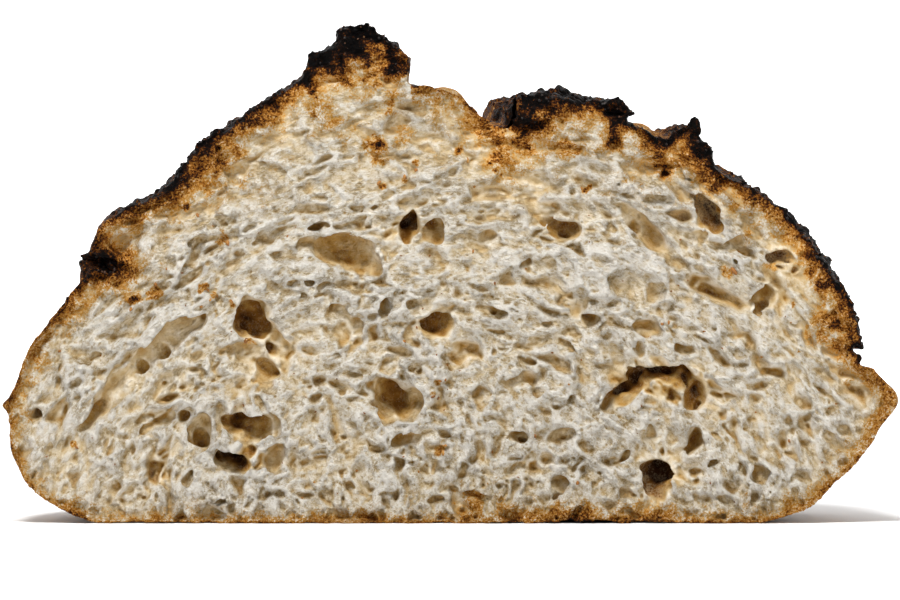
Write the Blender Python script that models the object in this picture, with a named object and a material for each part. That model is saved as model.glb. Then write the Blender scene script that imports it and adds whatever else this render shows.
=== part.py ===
"""Half of a round, slashed sourdough loaf, standing on its base with the cut side to the front.

X runs to the right along the cut, Y runs back into the loaf and Z is up. The origin is the
middle of the loaf's footprint on the table. Shape sizes are in millimetres.

A crust point has an angle, taken round the cut's outline from the right (0) over the top (90) to
the left (180), and a turn, from the cut (0) round to the very back (90).
"""

import math

import bmesh
import bpy
from mathutils import Matrix, Vector, noise

MM = 0.001

# The whole half loaf
HALF_DEPTH = 112.0       # from the cut to the back of the crust
HUB_HEIGHT = 30.0        # height of the widest level, which the outline's angles are taken round
FOOT_RIGHT = -20.6       # angle where the side meets the flat base, on the right
FOOT_LEFT = 198.4        # and on the left
PLAN_ROUNDNESS = 2.25    # 2 is a circle seen from above, more is squarer
BASE_SQUARENESS = 6.0    # how long the underside stays flat before it turns up at the back
BASE_OVERSHOOT = 1.04    # pushes the underside below the table, where it is cut flat

# The dome's outline at the cut, as (angle, radius) round the hub, without its slashes
DOME = (
    (-30, 61.0), (-20, 85.0), (-15, 96.8), (-10, 103.0), (-5, 109.4), (0, 112.6), (5, 111.0),
    (10, 109.0), (20, 105.8), (30, 101.4), (36, 98.2), (41, 94.0), (48, 93.8), (55, 91.4),
    (62, 89.8), (70, 87.4), (78, 84.4), (86, 87.6), (94, 91.0), (104, 93.2), (114, 94.0),
    (124, 93.6), (134, 94.2), (144, 95.0), (150, 100.0), (155, 101.6), (159, 100.4), (163, 102.4),
    (170, 109.0), (176, 113.4), (181, 115.0), (186, 114.4), (190, 111.4), (194, 105.0),
    (199, 92.0), (208, 65.0),
)
BACK_SIDE = 114.0        # towards the back the dome evens out, to this radius at its sides
BACK_TOP = 93.0          # and this one at its top
EVEN_TURN = 38.0         # turn at which it has evened out
EVEN_RISE = 0.33         # share of the dome's height over which the evening sets in

# Slashes cut in the dough before baking, which opened in the oven.
# right, left: the angles of its two edges at the cut. depth: how far its floor lies under the dome.
# lip_right, lip_left: how far the crust beside it lifts, and reach, over how many degrees.
# hang_right, hang_left: how far each lip leans out over the floor. end: the turn where it closes.
SLASHES = (
    dict(right=78.2, left=97.8, depth=7.0, lip_right=0.9, lip_left=8.4, reach=5.5,
         hang_right=0.5, hang_left=2.6, end=68.0),
    dict(right=50.6, left=58.6, depth=2.4, lip_right=2.6, lip_left=1.2, reach=3.0,
         hang_right=0.6, hang_left=0.9, end=54.0),
    dict(right=5.4, left=8.8, depth=2.8, lip_right=0.6, lip_left=1.2, reach=4.0,
         hang_right=0.0, hang_left=1.8, end=52.0),
    dict(right=155.4, left=158.8, depth=7.0, lip_right=1.6, lip_left=0.0, reach=4.0,
         hang_right=2.4, hang_left=0.4, end=50.0),
)
LIP_SHARPNESS = 1.6      # how steeply a lip rises and falls again
HANG_FALL = 1.8          # how soon the lean is lost behind a lip, per reach
EDGE = 0.7               # degrees over which a slash's side drops from the crust to its floor
RIDGE_SHARE = 0.28       # height of the torn ridge along a slash's middle, as a share of its depth
RIDGE_WIDTH = 0.42       # half width of that ridge, as a share of the slash's half width
FADE_TURN = 22.0         # turn over which a slash grows shallow before its end
WAVER = 0.18             # share by which its depth wavers along its length
WAVER_RATE = 6.5         # and how quickly
PINCH = 0.8              # share of its width that it has lost at its end
PINCH_START = 0.35       # share of its length after which it starts to narrow
PINCH_REACH = 1.6        # how far beside it the crust closes in, in its half widths
DRIFT = 9.0              # degrees that the slashes bend to the left on their way to the back

# Lumps of burnt crust: angle, distance behind the cut, radius, height
LUMPS = (
    (104.5, 7.0, 6.7, 1.6),
    (111.5, 4.0, 2.7, 2.6),
    (60.6, 3.0, 3.1, 1.2),
    (68.0, 9.0, 5.2, 1.2),
    (49.4, 3.0, 2.2, 5.0),
    (44.6, 5.0, 2.5, 2.2),
    (1.2, 3.0, 4.8, 3.4),
    (179.6, 2.0, 1.5, 1.6),
    (150.5, 8.0, 6.0, 1.6),
    (27.0, 9.0, 6.7, 1.4),
)
# The uneven swellings of the whole crust: spacing, height at the cut, height away from it
CRAGS = ((13.0, 0.9, 1.5), (5.6, 0.45, 0.9))
CRAG_GROWTH = 14.0       # distance behind the cut over which they grow to their full height
CALM_HEIGHT = 12.0       # they fade out from here down to the base

# Mesh density
ARC_STEP = 3.1           # degrees between outline points, away from the slashes
ARC_CLEAR = 1.4          # no such point is closer than this to a slash's edge
BASE_POINTS = 7          # points across the flat base
RINGS = 21               # sections from the cut to the back
LAST_RING = 86.0         # turn of the last one, before the closing point

# Gas holes opened by the knife: x, z, length, height, tilt in degrees, depth. The smaller ones
# and the fine crumb aren't part of the solid.
HOLES_LEFT = (
    (-51.5, 53.5, 12.0, 10.0, 35, 9.0), (-44.5, 48.0, 12.0, 6.0, -65, 6.0),
    (-53.0, 42.5, 11.0, 6.0, -15, 4.0), (-74.0, 46.5, 26.0, 6.0, 40, 5.5),
    (-92.0, 30.0, 20.0, 5.0, 42, 5.0), (-61.5, 73.0, 12.5, 3.8, 12, 3.5),
    (-49.0, 73.0, 6.5, 4.5, 20, 3.5), (-74.5, 34.5, 5.6, 5.0, 50, 4.0),
    (-74.5, 26.5, 10.0, 5.0, 18, 5.0), (-65.5, 22.0, 9.5, 6.5, 80, 6.0),
    (-53.0, 25.5, 14.5, 7.0, -8, 8.0), (-57.0, 17.0, 10.0, 5.2, -5, 12.0),
    (-45.5, 16.5, 8.0, 5.5, 65, 6.0), (-27.5, 69.5, 16.0, 9.5, -10, 8.0),
    (-48.0, 92.0, 10.5, 4.6, -20, 3.5), (-36.5, 87.5, 7.0, 4.0, 25, 3.5),
)
HOLES_MIDDLE = (
    (-11.0, 77.0, 8.0, 5.2, 85, 8.0), (-4.8, 75.5, 6.2, 5.2, 20, 7.0),
    (-5.0, 83.0, 7.0, 5.0, -10, 4.0), (10.5, 73.0, 6.5, 5.2, 40, 5.0),
    (30.5, 75.0, 9.4, 6.8, -5, 8.0), (-8.0, 57.5, 7.5, 5.0, -10, 3.5),
    (-18.0, 57.0, 7.4, 3.4, 85, 4.0), (-3.5, 50.5, 10.5, 6.0, 5, 9.0),
    (11.0, 54.0, 8.5, 3.8, -10, 5.0), (33.0, 57.5, 9.5, 6.0, -70, 3.0),
    (-28.5, 51.5, 9.0, 5.5, -60, 5.0), (22.5, 37.0, 16.5, 4.6, 0, 4.5),
    (-13.5, 32.0, 13.0, 8.0, -35, 9.0), (-10.5, 20.5, 9.0, 5.5, 0, 6.0),
    (-27.0, 23.0, 8.0, 4.2, 0, 4.0), (18.0, 21.0, 5.6, 4.0, -20, 5.0),
    (28.0, 21.5, 9.5, 5.5, 40, 6.0), (29.0, 8.4, 6.5, 4.4, 0, 6.0),
    (-24.5, 101.0, 14.5, 5.5, -5, 3.5), (-8.0, 96.0, 14.0, 5.6, 15, 3.2),
    (6.2, 6.4, 8.8, 3.0, 0, 5.0),
)
HOLES_RIGHT = (
    (66.0, 81.5, 12.0, 5.0, -55, 9.0), (52.5, 74.5, 20.0, 6.4, -42, 6.0),
    (49.0, 61.0, 14.0, 8.5, -20, 4.5), (51.5, 50.0, 8.3, 5.0, -5, 6.0),
    (74.5, 72.0, 6.8, 4.6, -15, 4.0), (86.5, 68.0, 10.0, 4.6, -32, 7.0),
    (83.5, 58.0, 8.0, 5.5, -15, 6.0), (89.0, 49.5, 8.0, 3.4, -10, 3.5),
    (83.0, 38.5, 14.0, 5.2, -50, 5.0), (45.0, 32.0, 12.5, 5.0, 30, 9.0),
    (54.5, 38.4, 17.0, 4.0, -3, 9.0), (63.5, 34.0, 9.0, 6.5, -75, 8.0),
    (54.0, 10.6, 10.2, 8.2, 70, 12.0), (64.0, 21.5, 8.0, 4.5, 80, 6.0),
    (77.5, 30.0, 6.5, 4.2, -50, 4.0), (92.0, 24.0, 9.0, 4.5, -10, 4.0),
    (80.0, 12.0, 5.6, 4.4, 80, 5.0), (52.0, 21.5, 6.0, 5.0, -20, 3.5),
)
HOLE_SINK = 0.22         # share of a hole's depth that its widest level lies behind the cut
FINE_HOLE = 9.0          # holes this long or longer get more segments
HOLE_SEGMENTS = (10, 6)  # segments round and rings of the smaller holes
FINE_SEGMENTS = (14, 8)

CRUST_COLOUR = (0.50, 0.40, 0.26, 1.0)
CRUST_ROUGHNESS = 0.85


def smooth_step(low, high, value):
    """0 below low, 1 above high, with an easy rise between them."""
    share = min(1.0, max(0.0, (value - low) / (high - low)))
    return share * share * (3.0 - 2.0 * share)


def upward(angle):
    """0 at the widest level and below it, 1 at the top of the dome."""
    return math.sin(math.radians(max(0.0, min(180.0, angle))))


def dome_radius(angle):
    """Radius of the dome's outline, on a smooth curve through the points of DOME."""
    last = len(DOME) - 2
    index = max(i for i in range(1, last) if DOME[i][0] <= max(angle, DOME[1][0]))
    before, start, end, after = DOME[index - 1:index + 3]
    span = end[0] - start[0]
    share = (angle - start[0]) / span
    slope_start = (end[1] - before[1]) / (end[0] - before[0]) * span
    slope_end = (after[1] - start[1]) / (after[0] - start[0]) * span
    return (
        (2 * share**3 - 3 * share**2 + 1) * start[1]
        + (share**3 - 2 * share**2 + share) * slope_start
        + (3 * share**2 - 2 * share**3) * end[1]
        + (share**3 - share**2) * slope_end
    )


def slash_relief(angle, turn):
    """(rise, lean) that the slashes give the crust."""
    rise = 0.0
    lean = 0.0
    for number, slash in enumerate(SLASHES):
        right, left = slash["right"], slash["left"]
        strength = 1.0 - smooth_step(slash["end"] - FADE_TURN, slash["end"], turn)
        settle = min(1.0, turn / FADE_TURN)
        strength *= 1.0 - WAVER * settle * math.sin(math.radians(WAVER_RATE * turn) + number)
        inside = smooth_step(right, right + EDGE, angle) * (1.0 - smooth_step(left - EDGE, left, angle))
        across = (2.0 * angle - right - left) / (left - right)
        ridge = RIDGE_SHARE * slash["depth"] * max(0.0, 1.0 - (across / RIDGE_WIDTH) ** 2)
        rise -= inside * (slash["depth"] - ridge) * strength
        for past, lip, hang, way in (
            (angle - left, slash["lip_left"], slash["hang_left"], -1.0),
            (right - angle, slash["lip_right"], slash["hang_right"], 1.0),
        ):
            beyond = max(0.0, past / slash["reach"])
            rise += lip * (beyond * math.exp(1.0 - beyond)) ** LIP_SHARPNESS * strength
            if past > -EDGE:
                lean += way * hang * math.exp(-HANG_FALL * beyond) * (1.0 - inside) * strength
    return rise, lean


def slash_bend(angle, turn):
    """Degrees that a crust point moves round, so that the slashes bend and close on their way back."""
    bend = DRIFT * math.sin(math.radians(turn)) * upward(angle)
    for slash in SLASHES:
        middle = 0.5 * (slash["left"] + slash["right"])
        reach = PINCH_REACH * (slash["left"] - middle)
        closing = PINCH * smooth_step(PINCH_START * slash["end"], slash["end"], turn)
        bend -= (angle - middle) * closing * math.exp(-(((angle - middle) / reach) ** 2))
    return bend


def lump_relief(angle, behind, radius):
    """Height that the burnt lumps add, at a distance behind the cut."""
    rise = 0.0
    for lump_angle, lump_behind, lump_radius, lump_height in LUMPS:
        across = math.radians(angle - lump_angle) * radius
        along = behind - lump_behind
        rise += lump_height * math.exp(-(across**2 + along**2) / lump_radius**2)
    return rise


def section_scale(turn):
    """(width, flatness of the underside, distance behind the cut) of the section at a turn."""
    power = 2.0 / PLAN_ROUNDNESS
    width = math.cos(math.radians(turn)) ** power
    back = math.sin(math.radians(turn)) ** power
    flat = max(0.0, 1.0 - back**BASE_SQUARENESS) ** (1.0 / BASE_SQUARENESS)
    return width, flat, HALF_DEPTH * back


def crust_point(angle, turn):
    """A point of the crust, in millimetres from the cut's hub line on the table."""
    width, flat, behind = section_scale(turn)
    even = smooth_step(0.0, EVEN_TURN, turn) * min(1.0, upward(angle) / EVEN_RISE)
    even_radius = BACK_SIDE + (BACK_TOP - BACK_SIDE) * upward(angle) ** 2
    radius = dome_radius(angle) * (1.0 - even) + even_radius * even
    direction = math.radians(angle + slash_bend(angle, turn))
    side = math.cos(direction)
    up = math.sin(direction)
    x = radius * width * side
    z = HUB_HEIGHT + radius * up * (width if up > 0.0 else flat * BASE_OVERSHOOT)
    rise, lean = slash_relief(angle, turn)
    rise += lump_relief(angle, behind, radius)
    spot = Vector((x, behind, z))
    calm = smooth_step(0.0, CALM_HEIGHT, z)
    grown = smooth_step(0.0, CRAG_GROWTH, behind)
    for spacing, cut_height, full_height in CRAGS:
        height = cut_height + (full_height - cut_height) * grown
        rise += height * calm * noise.noise(spot / spacing)
    facing = math.cos(math.radians(turn))
    x += rise * side * facing - lean * up
    z += rise * up * facing + lean * side
    y = behind + rise * math.sin(math.radians(turn))
    return Vector((x, y, max(0.0, z)))


def outline_angles():
    """Angles of the outline's points, from one foot over the top to the other, close at the slashes."""
    edges = []
    for slash in SLASHES:
        for edge, inward in ((slash["right"], 1.0), (slash["left"], -1.0)):
            edges += [edge - inward * 0.25 * EDGE, edge + inward * 1.15 * EDGE]
    angles = [FOOT_RIGHT, FOOT_LEFT] + edges
    count = round((FOOT_LEFT - FOOT_RIGHT) / ARC_STEP)
    for index in range(1, count):
        angle = FOOT_RIGHT + (FOOT_LEFT - FOOT_RIGHT) * index / count
        if min(abs(angle - edge) for edge in edges) > ARC_CLEAR:
            angles.append(angle)
    return sorted(angles)


def build_loaf():
    """The closed body without its holes: sections from the cut to the back, capped at both ends."""
    mesh = bmesh.new()
    angles = outline_angles()
    sections = []
    for ring in range(RINGS):
        turn = LAST_RING * ring / (RINGS - 1)
        arc = [crust_point(angle, turn) for angle in angles]
        left, right = arc[-1], arc[0]
        left.z = right.z = max(left.z, right.z)
        base = [left.lerp(right, step / (BASE_POINTS + 1)) for step in range(1, BASE_POINTS + 1)]
        sections.append([mesh.verts.new(point * MM) for point in arc + base])
    for near, far in zip(sections, sections[1:]):
        for index in range(len(near)):
            following = (index + 1) % len(near)
            mesh.faces.new((near[index], far[index], far[following], near[following]))
    mesh.faces.new(sections[0])
    rim = sections[-1]
    back_height = sum((vert.co.z for vert in rim), 0.0) / len(rim)
    tip = mesh.verts.new((0.0, HALF_DEPTH * MM, back_height))
    for index in range(len(rim)):
        mesh.faces.new((rim[index], tip, rim[(index + 1) % len(rim)]))
    bmesh.ops.recalc_face_normals(mesh, faces=mesh.faces)
    return mesh


def add_object(name, mesh, collection):
    """An object of that name from a bmesh, which is then freed."""
    data = bpy.data.meshes.new(name)
    mesh.to_mesh(data)
    mesh.free()
    made = bpy.data.objects.new(name, data)
    collection.objects.link(made)
    return made


def add_hole(number, hole, shift, collection):
    """A hidden egg-shaped cutter for one gas hole, its widest level a little behind the cut."""
    x, z, length, height, tilt, depth = hole
    mesh = bmesh.new()
    around, rings = FINE_SEGMENTS if length >= FINE_HOLE else HOLE_SEGMENTS
    bmesh.ops.create_uvsphere(mesh, u_segments=around, v_segments=rings, radius=1.0)
    mesh.transform(Matrix.Rotation(math.radians(90), 4, "X"))
    widen = 1.0 / math.sqrt(1.0 - HOLE_SINK**2)
    size = Vector((length / 2 * widen, depth / (1.0 + HOLE_SINK), height / 2 * widen)) * MM
    place = Matrix.Translation(Vector((x * MM, size.y * HOLE_SINK, z * MM)) + shift)
    turn = Matrix.Rotation(-math.radians(tilt), 4, "Y")
    mesh.transform(place @ turn @ Matrix.Diagonal(size).to_4x4())
    cutter = add_object(f"hole_{number:02d}", mesh, collection)
    cutter.hide_render = True
    cutter.display_type = "WIRE"


def crust_material():
    """Baked crust and crumb, in the one colour between them."""
    material = bpy.data.materials.new("crust_and_crumb")
    material.use_nodes = True
    shader = material.node_tree.nodes["Principled BSDF"]
    shader.inputs["Base Color"].default_value = CRUST_COLOUR
    shader.inputs["Roughness"].default_value = CRUST_ROUGHNESS
    shader.inputs["Metallic"].default_value = 0.0
    return material


def main():
    for old in list(bpy.data.objects):
        bpy.data.objects.remove(old)
    scene = bpy.context.scene
    mesh = build_loaf()
    lows = [min(vert.co[axis] for vert in mesh.verts) for axis in range(3)]
    highs = [max(vert.co[axis] for vert in mesh.verts) for axis in range(3)]
    shift = Vector((-(lows[0] + highs[0]) / 2, -(lows[1] + highs[1]) / 2, 0.0))
    mesh.transform(Matrix.Translation(shift))
    loaf = add_object("loaf", mesh, scene.collection)
    loaf.data.materials.append(crust_material())

    cutters = bpy.data.collections.new("gas_holes")
    scene.collection.children.link(cutters)
    for number, hole in enumerate(HOLES_LEFT + HOLES_MIDDLE + HOLES_RIGHT):
        add_hole(number, hole, shift, cutters)
    cut = loaf.modifiers.new("open_holes", "BOOLEAN")
    cut.operation = "DIFFERENCE"
    cut.operand_type = "COLLECTION"
    cut.collection = cutters
    cut.solver = "EXACT"


main()
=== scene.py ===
"""Dressing for the half loaf: its torn open crumb, its scorched craggy crust and its studio light.

X runs to the right along the cut, Y back into the loaf and Z up. Shapes are worked out in
millimetres from the cut's hub line on the table, and moved to their place as a mesh is made.
"""

import math

import bmesh
import bpy
import numpy as np
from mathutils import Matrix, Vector, noise


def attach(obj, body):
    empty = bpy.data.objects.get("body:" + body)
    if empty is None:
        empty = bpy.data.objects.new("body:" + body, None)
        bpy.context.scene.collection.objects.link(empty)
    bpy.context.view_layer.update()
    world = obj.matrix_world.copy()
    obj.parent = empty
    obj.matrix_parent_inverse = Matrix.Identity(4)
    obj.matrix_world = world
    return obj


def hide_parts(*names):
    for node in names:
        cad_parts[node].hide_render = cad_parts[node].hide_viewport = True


MM = 0.001

# The loaf's own shape, as its solid has it, with angles round the hub in degrees
HALF_DEPTH = 112.0
HUB_HEIGHT = 30.0
FOOT_RIGHT = -20.6
FOOT_LEFT = 198.4
PLAN_ROUNDNESS = 2.25
BASE_SQUARENESS = 6.0
BASE_OVERSHOOT = 1.04
HUB_SHIFT = (-0.236, -56.136, 0.0)   # from the hub line to the middle of the footprint
# Outline of the cut: angle, radius
DOME = np.array((
    (-30, 61.0), (-20, 85.0), (-15, 96.8), (-10, 103.0), (-5, 109.4), (0, 112.6), (5, 111.0),
    (10, 109.0), (20, 105.8), (30, 101.4), (36, 98.2), (41, 94.0), (48, 93.8), (55, 91.4),
    (62, 89.8), (70, 87.4), (78, 84.4), (86, 87.6), (94, 91.0), (104, 93.2), (114, 94.0),
    (124, 93.6), (134, 94.2), (144, 95.0), (150, 100.0), (155, 101.6), (159, 100.4), (163, 102.4),
    (170, 109.0), (176, 113.4), (181, 115.0), (186, 114.4), (190, 111.4), (194, 105.0),
    (199, 92.0), (208, 65.0),
))
BACK_SIDE = 114.0        # radius of the even dome at the back, at its sides and at its top
BACK_TOP = 93.0
EVEN_TURN = 38.0         # turn away from the cut by which the dome is even
EVEN_RISE = 0.33         # share of the dome's rise over which its foot stays as at the cut
# Slashes: the places, heights and overhangs of their two lips, the depth of the groove between
# them, how far a lip reaches round the loaf, and the turn at which the slash ends
SLASHES = (
    dict(right=78.2, left=97.8, depth=7.0, lip_right=0.9, lip_left=8.4, reach=5.5,
         hang_right=0.5, hang_left=2.6, end=68.0),
    dict(right=50.6, left=58.6, depth=2.4, lip_right=2.6, lip_left=1.2, reach=3.0,
         hang_right=0.6, hang_left=0.9, end=54.0),
    dict(right=5.4, left=8.8, depth=2.8, lip_right=0.6, lip_left=1.2, reach=4.0,
         hang_right=0.0, hang_left=1.8, end=52.0),
    dict(right=155.4, left=158.8, depth=7.0, lip_right=1.6, lip_left=0.0, reach=4.0,
         hang_right=2.4, hang_left=0.4, end=50.0),
)
LIP_SHARPNESS = 1.6
HANG_FALL = 1.8
EDGE = 0.7               # degrees over which a groove's wall drops
RIDGE_SHARE = 0.28       # torn ridge on a groove's floor: shares of its depth and half width
RIDGE_WIDTH = 0.42
FADE_TURN = 22.0
WAVER = 0.18             # share by which a slash swells and shrinks on its way back, and its rate
WAVER_RATE = 6.5
PINCH = 0.8              # how far a slash closes at its end, from which share of its way, how wide
PINCH_START = 0.35
PINCH_REACH = 1.6
DRIFT = 9.0              # degrees by which the slashes bend on their way back
# Burnt lumps and low swells of the crust: angle, distance behind the cut, reach, height
LUMPS = (
    (104.5, 7.0, 6.7, 1.6), (111.5, 4.0, 2.7, 2.6), (60.6, 3.0, 3.1, 1.2), (68.0, 9.0, 5.2, 1.2),
    (49.4, 3.0, 2.2, 5.0), (44.6, 5.0, 2.5, 2.2), (1.2, 3.0, 4.8, 3.4), (179.6, 2.0, 1.5, 1.6),
    (150.5, 8.0, 6.0, 1.6), (27.0, 9.0, 6.7, 1.4),
    (158.4, 6.0, 3.5, 3.3),    # closes the left flap's notch behind the cut
    # lower the big groove and the lip beside it behind the cut, and round the left shoulder
    (82.0, 9.0, 9.0, -2.8), (87.0, 6.0, 8.0, -1.0), (68.0, 6.0, 10.0, -1.2),
    (131.0, 5.0, 13.0, 1.5),
    (78.4, 34.0, 12.0, -6.0),  # keeps the middle flap's tip from showing past the cut
    (48.6, 3.0, 3.6, 2.2),     # thickens the foot of the burnt spike
)
# Broad crags of the crust: spacing, height at the cut, height behind it
CRAGS = ((13.0, 0.9, 1.5), (5.6, 0.45, 0.9))
CRAG_GROWTH = 14.0       # distance behind the cut over which they grow
CALM_HEIGHT = 12.0       # height over the table over which they begin

# Gas holes at the cut: x, z, length, height, tilt in degrees, depth. First the solid's own ones,
# then smaller ones that only the crumb has.
SOLID_HOLES = (
    (-51.5, 53.5, 12.0, 10.0, 35, 9.0), (-44.5, 48.0, 12.0, 6.0, -65, 6.0),
    (-53.0, 42.5, 11.0, 6.0, -15, 4.0), (-74.0, 46.5, 26.0, 6.0, 40, 5.5),
    (-92.0, 30.0, 20.0, 5.0, 42, 5.0), (-61.5, 73.0, 12.5, 3.8, 12, 3.5),
    (-49.0, 73.0, 6.5, 4.5, 20, 3.5), (-74.5, 34.5, 5.6, 5.0, 50, 4.0),
    (-74.5, 26.5, 10.0, 5.0, 18, 5.0), (-65.5, 22.0, 9.5, 6.5, 80, 6.0),
    (-53.0, 25.5, 14.5, 7.0, -8, 8.0), (-57.0, 17.0, 10.0, 5.2, -5, 12.0),
    (-45.5, 16.5, 8.0, 5.5, 65, 6.0), (-27.5, 69.5, 16.0, 9.5, -10, 8.0),
    (-48.0, 92.0, 10.5, 4.6, -20, 3.5), (-36.5, 87.5, 7.0, 4.0, 25, 3.5),
    (-11.0, 77.0, 8.0, 5.2, 85, 8.0), (-4.8, 75.5, 6.2, 5.2, 20, 7.0),
    (-5.0, 83.0, 7.0, 5.0, -10, 4.0), (10.5, 73.0, 6.5, 5.2, 40, 5.0),
    (30.5, 75.0, 9.4, 6.8, -5, 8.0), (-8.0, 57.5, 7.5, 5.0, -10, 3.5),
    (-18.0, 57.0, 7.4, 3.4, 85, 4.0), (-3.5, 50.5, 10.5, 6.0, 5, 9.0),
    (11.0, 54.0, 8.5, 3.8, -10, 5.0), (33.0, 57.5, 9.5, 6.0, -70, 3.0),
    (-28.5, 51.5, 9.0, 5.5, -60, 5.0), (22.5, 37.0, 16.5, 4.6, 0, 4.5),
    (-13.5, 32.0, 13.0, 8.0, -35, 9.0), (-10.5, 20.5, 9.0, 5.5, 0, 6.0),
    (-27.0, 23.0, 8.0, 4.2, 0, 4.0), (18.0, 21.0, 5.6, 4.0, -20, 5.0),
    (28.0, 21.5, 9.5, 5.5, 40, 6.0), (29.0, 8.4, 6.5, 4.4, 0, 6.0),
    (-24.5, 101.0, 14.5, 5.5, -5, 3.5), (-8.0, 96.0, 14.0, 5.6, 15, 3.2),
    (6.2, 6.4, 8.8, 3.0, 0, 5.0),
    (66.0, 81.5, 12.0, 5.0, -55, 9.0), (52.5, 74.5, 20.0, 6.4, -42, 6.0),
    (49.0, 61.0, 14.0, 8.5, -20, 4.5), (51.5, 50.0, 8.3, 5.0, -5, 6.0),
    (74.5, 72.0, 6.8, 4.6, -15, 4.0), (86.5, 68.0, 10.0, 4.6, -32, 7.0),
    (83.5, 58.0, 8.0, 5.5, -15, 6.0), (89.0, 49.5, 8.0, 3.4, -10, 3.5),
    (83.0, 38.5, 14.0, 5.2, -50, 5.0), (45.0, 32.0, 12.5, 5.0, 30, 9.0),
    (54.5, 38.4, 17.0, 4.0, -3, 9.0), (63.5, 34.0, 9.0, 6.5, -75, 8.0),
    (54.0, 10.6, 10.2, 8.2, 70, 12.0), (64.0, 21.5, 8.0, 4.5, 80, 6.0),
    (77.5, 30.0, 6.5, 4.2, -50, 4.0), (92.0, 24.0, 9.0, 4.5, -10, 4.0),
    (80.0, 12.0, 5.6, 4.4, 80, 5.0), (52.0, 21.5, 6.0, 5.0, -20, 3.5),
)
SMALL_HOLES = (
    (-46.5, 38, 5, 3.5, -60, 5), (-60, 79.5, 11.5, 3.6, 5, 3), (-51, 77.5, 8, 3, 10, 2.5),
    (-66.5, 38.5, 6.5, 3, 5, 3), (-67, 46, 4.7, 3.6, 20, 3), (-46.5, 61.5, 5, 2.6, -10, 3),
    (-45.5, 25, 6, 3.6, -70, 4), (-96, 27, 6.5, 3.2, 5, 4), (-80.5, 6.5, 3.5, 2.5, 0, 3.5),
    (-89, 11, 6, 3, 20, 2.5), (-34, 77, 6.5, 2.5, 0, 5), (38, 75, 5.2, 2.3, -5, 4),
    (20, 66, 4, 3.4, 80, 5), (10.5, 67, 4.7, 4, 20, 2.5), (-26.5, 50, 6, 4.5, 35, 5),
    (-31, 53.5, 6, 4.5, -60, 5), (-13.5, 44.5, 6, 4.2, 35, 3), (4.7, 45, 3, 2.3, 20, 4),
    (20, 42, 7, 2.4, 0, 5), (30, 46, 8, 2.6, -15, 4), (-34.5, 27.5, 4.5, 4, 30, 4),
    (-27.5, 33, 5.5, 3.2, -20, 3.5), (-4.7, 15, 4, 2.8, -10, 4), (-11, 15.5, 4, 2.5, 0, 3),
    (8.5, 15.5, 4, 2.6, -75, 4), (30.5, 32, 3.7, 2.6, 10, 4), (-29.5, 7.5, 7.5, 2.8, 5, 3),
    (17, 15, 6.5, 2, 0, 3), (3.7, 13, 5, 2.5, -35, 3), (23, 102.5, 9, 2.3, 3, 5),
    (30.5, 99, 5.7, 3.6, -5, 4), (16.5, 89.5, 5, 3, 10, 2.5), (63.5, 75, 6.5, 4.5, 10, 3),
    (90, 59, 4.5, 3, -15, 3), (98.5, 53, 6.5, 3.6, -35, 4), (76, 48, 4.5, 2.6, 0, 3),
    (64, 64, 6.5, 3, -30, 4), (45.8, 17.7, 4.2, 3.8, 60, 5), (69, 15, 5, 2.3, 10, 3),
    (64, 12.2, 3.3, 3, 0, 4), (44, 99, 5.2, 5, -30, 4), (92.5, 36, 5.2, 3, -25, 3),
    (49.5, 43.5, 6.5, 5, -80, 2), (99.5, 29, 5.2, 3, 0, 2.5), (87, 17.5, 3, 2.4, 0, 3),
    (45, 44.5, 3, 2.2, 20, 3), (48.3, 36.4, 9, 5.2, 48, 8), (60.6, 37.4, 7, 5, -40, 8),
    (-95, 42.5, 4.4, 3, 40, 3), (-92.5, 38.5, 3.6, 3, 30, 3), (87.6, 67.4, 9, 5.2, -36, 6),
    (-20.5, 81, 2.6, 2.4, 0, 3), (-25, 81, 4.2, 1.8, 0, 3), (26, 51, 5, 1.6, 0, 3),
    (-33.5, 37.7, 4, 3.4, -20, 3), (-24, 36.7, 4.2, 2.2, 0, 3), (-7.3, 40, 5, 2.4, 0, 3),
    (-80, 10.7, 3, 2.4, 0, 3), (-101, 13.3, 3, 2.4, 0, 3), (-17.7, 13.5, 3.4, 2.6, 20, 3),
    (-1.8, 30, 2.8, 3, 0, 3), (9.4, 29, 3.6, 2.8, 0, 3), (12.5, 16.6, 3, 3, 0, 3),
    (37.4, 19.5, 5.2, 3, 0, 3), (34.6, 10.7, 2.8, 3.4, 0, 3),
    (-83.5, 38, 24, 5.6, 41, 4.6), (-99, 24.5, 10, 4, 44, 3), (-50.5, 41.5, 15, 9, -40, 4.5),
    (-35, 71.8, 10, 4.5, -15, 4), (-41, 62, 4, 3, 60, 3), (-37, 63.2, 3.2, 2.4, 0, 3),
    (-33.5, 61.5, 2.8, 2.2, 0, 3), (9.8, 82.5, 6, 3.4, 0, 2.2), (20.5, 83.6, 3, 3.4, 0, 2.5),
    (30, 80, 2.4, 2.2, 0, 3), (36.5, 75.5, 5, 2.6, -20, 2.5), (19.5, 65.6, 3, 4.4, 0, 4),
    (-44, 90, 9, 4, -10, 3), (-66, 66, 8, 3.4, 35, 2.5), (40, 66.5, 6, 3, -20, 2.5),
    (57, 68, 7, 3, -50, 2.5), (70, 63, 6, 3.2, -20, 2.5), (73, 56, 6, 2.6, -10, 2.5),
)
HOLE_SINK = 0.22         # share of its depth by which a hole's middle lies behind the cut
HOLE_MARGIN = 2.6        # room round a hole that its uneven wall may need
HOLE_WARPS = ((7.5, 17, 1.4), (3.4, 21, 1.05), (1.3, 31, 0.45))   # spacing, seed, reach
CLEAR = 5.0              # value of the holes' field where there is none

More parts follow.
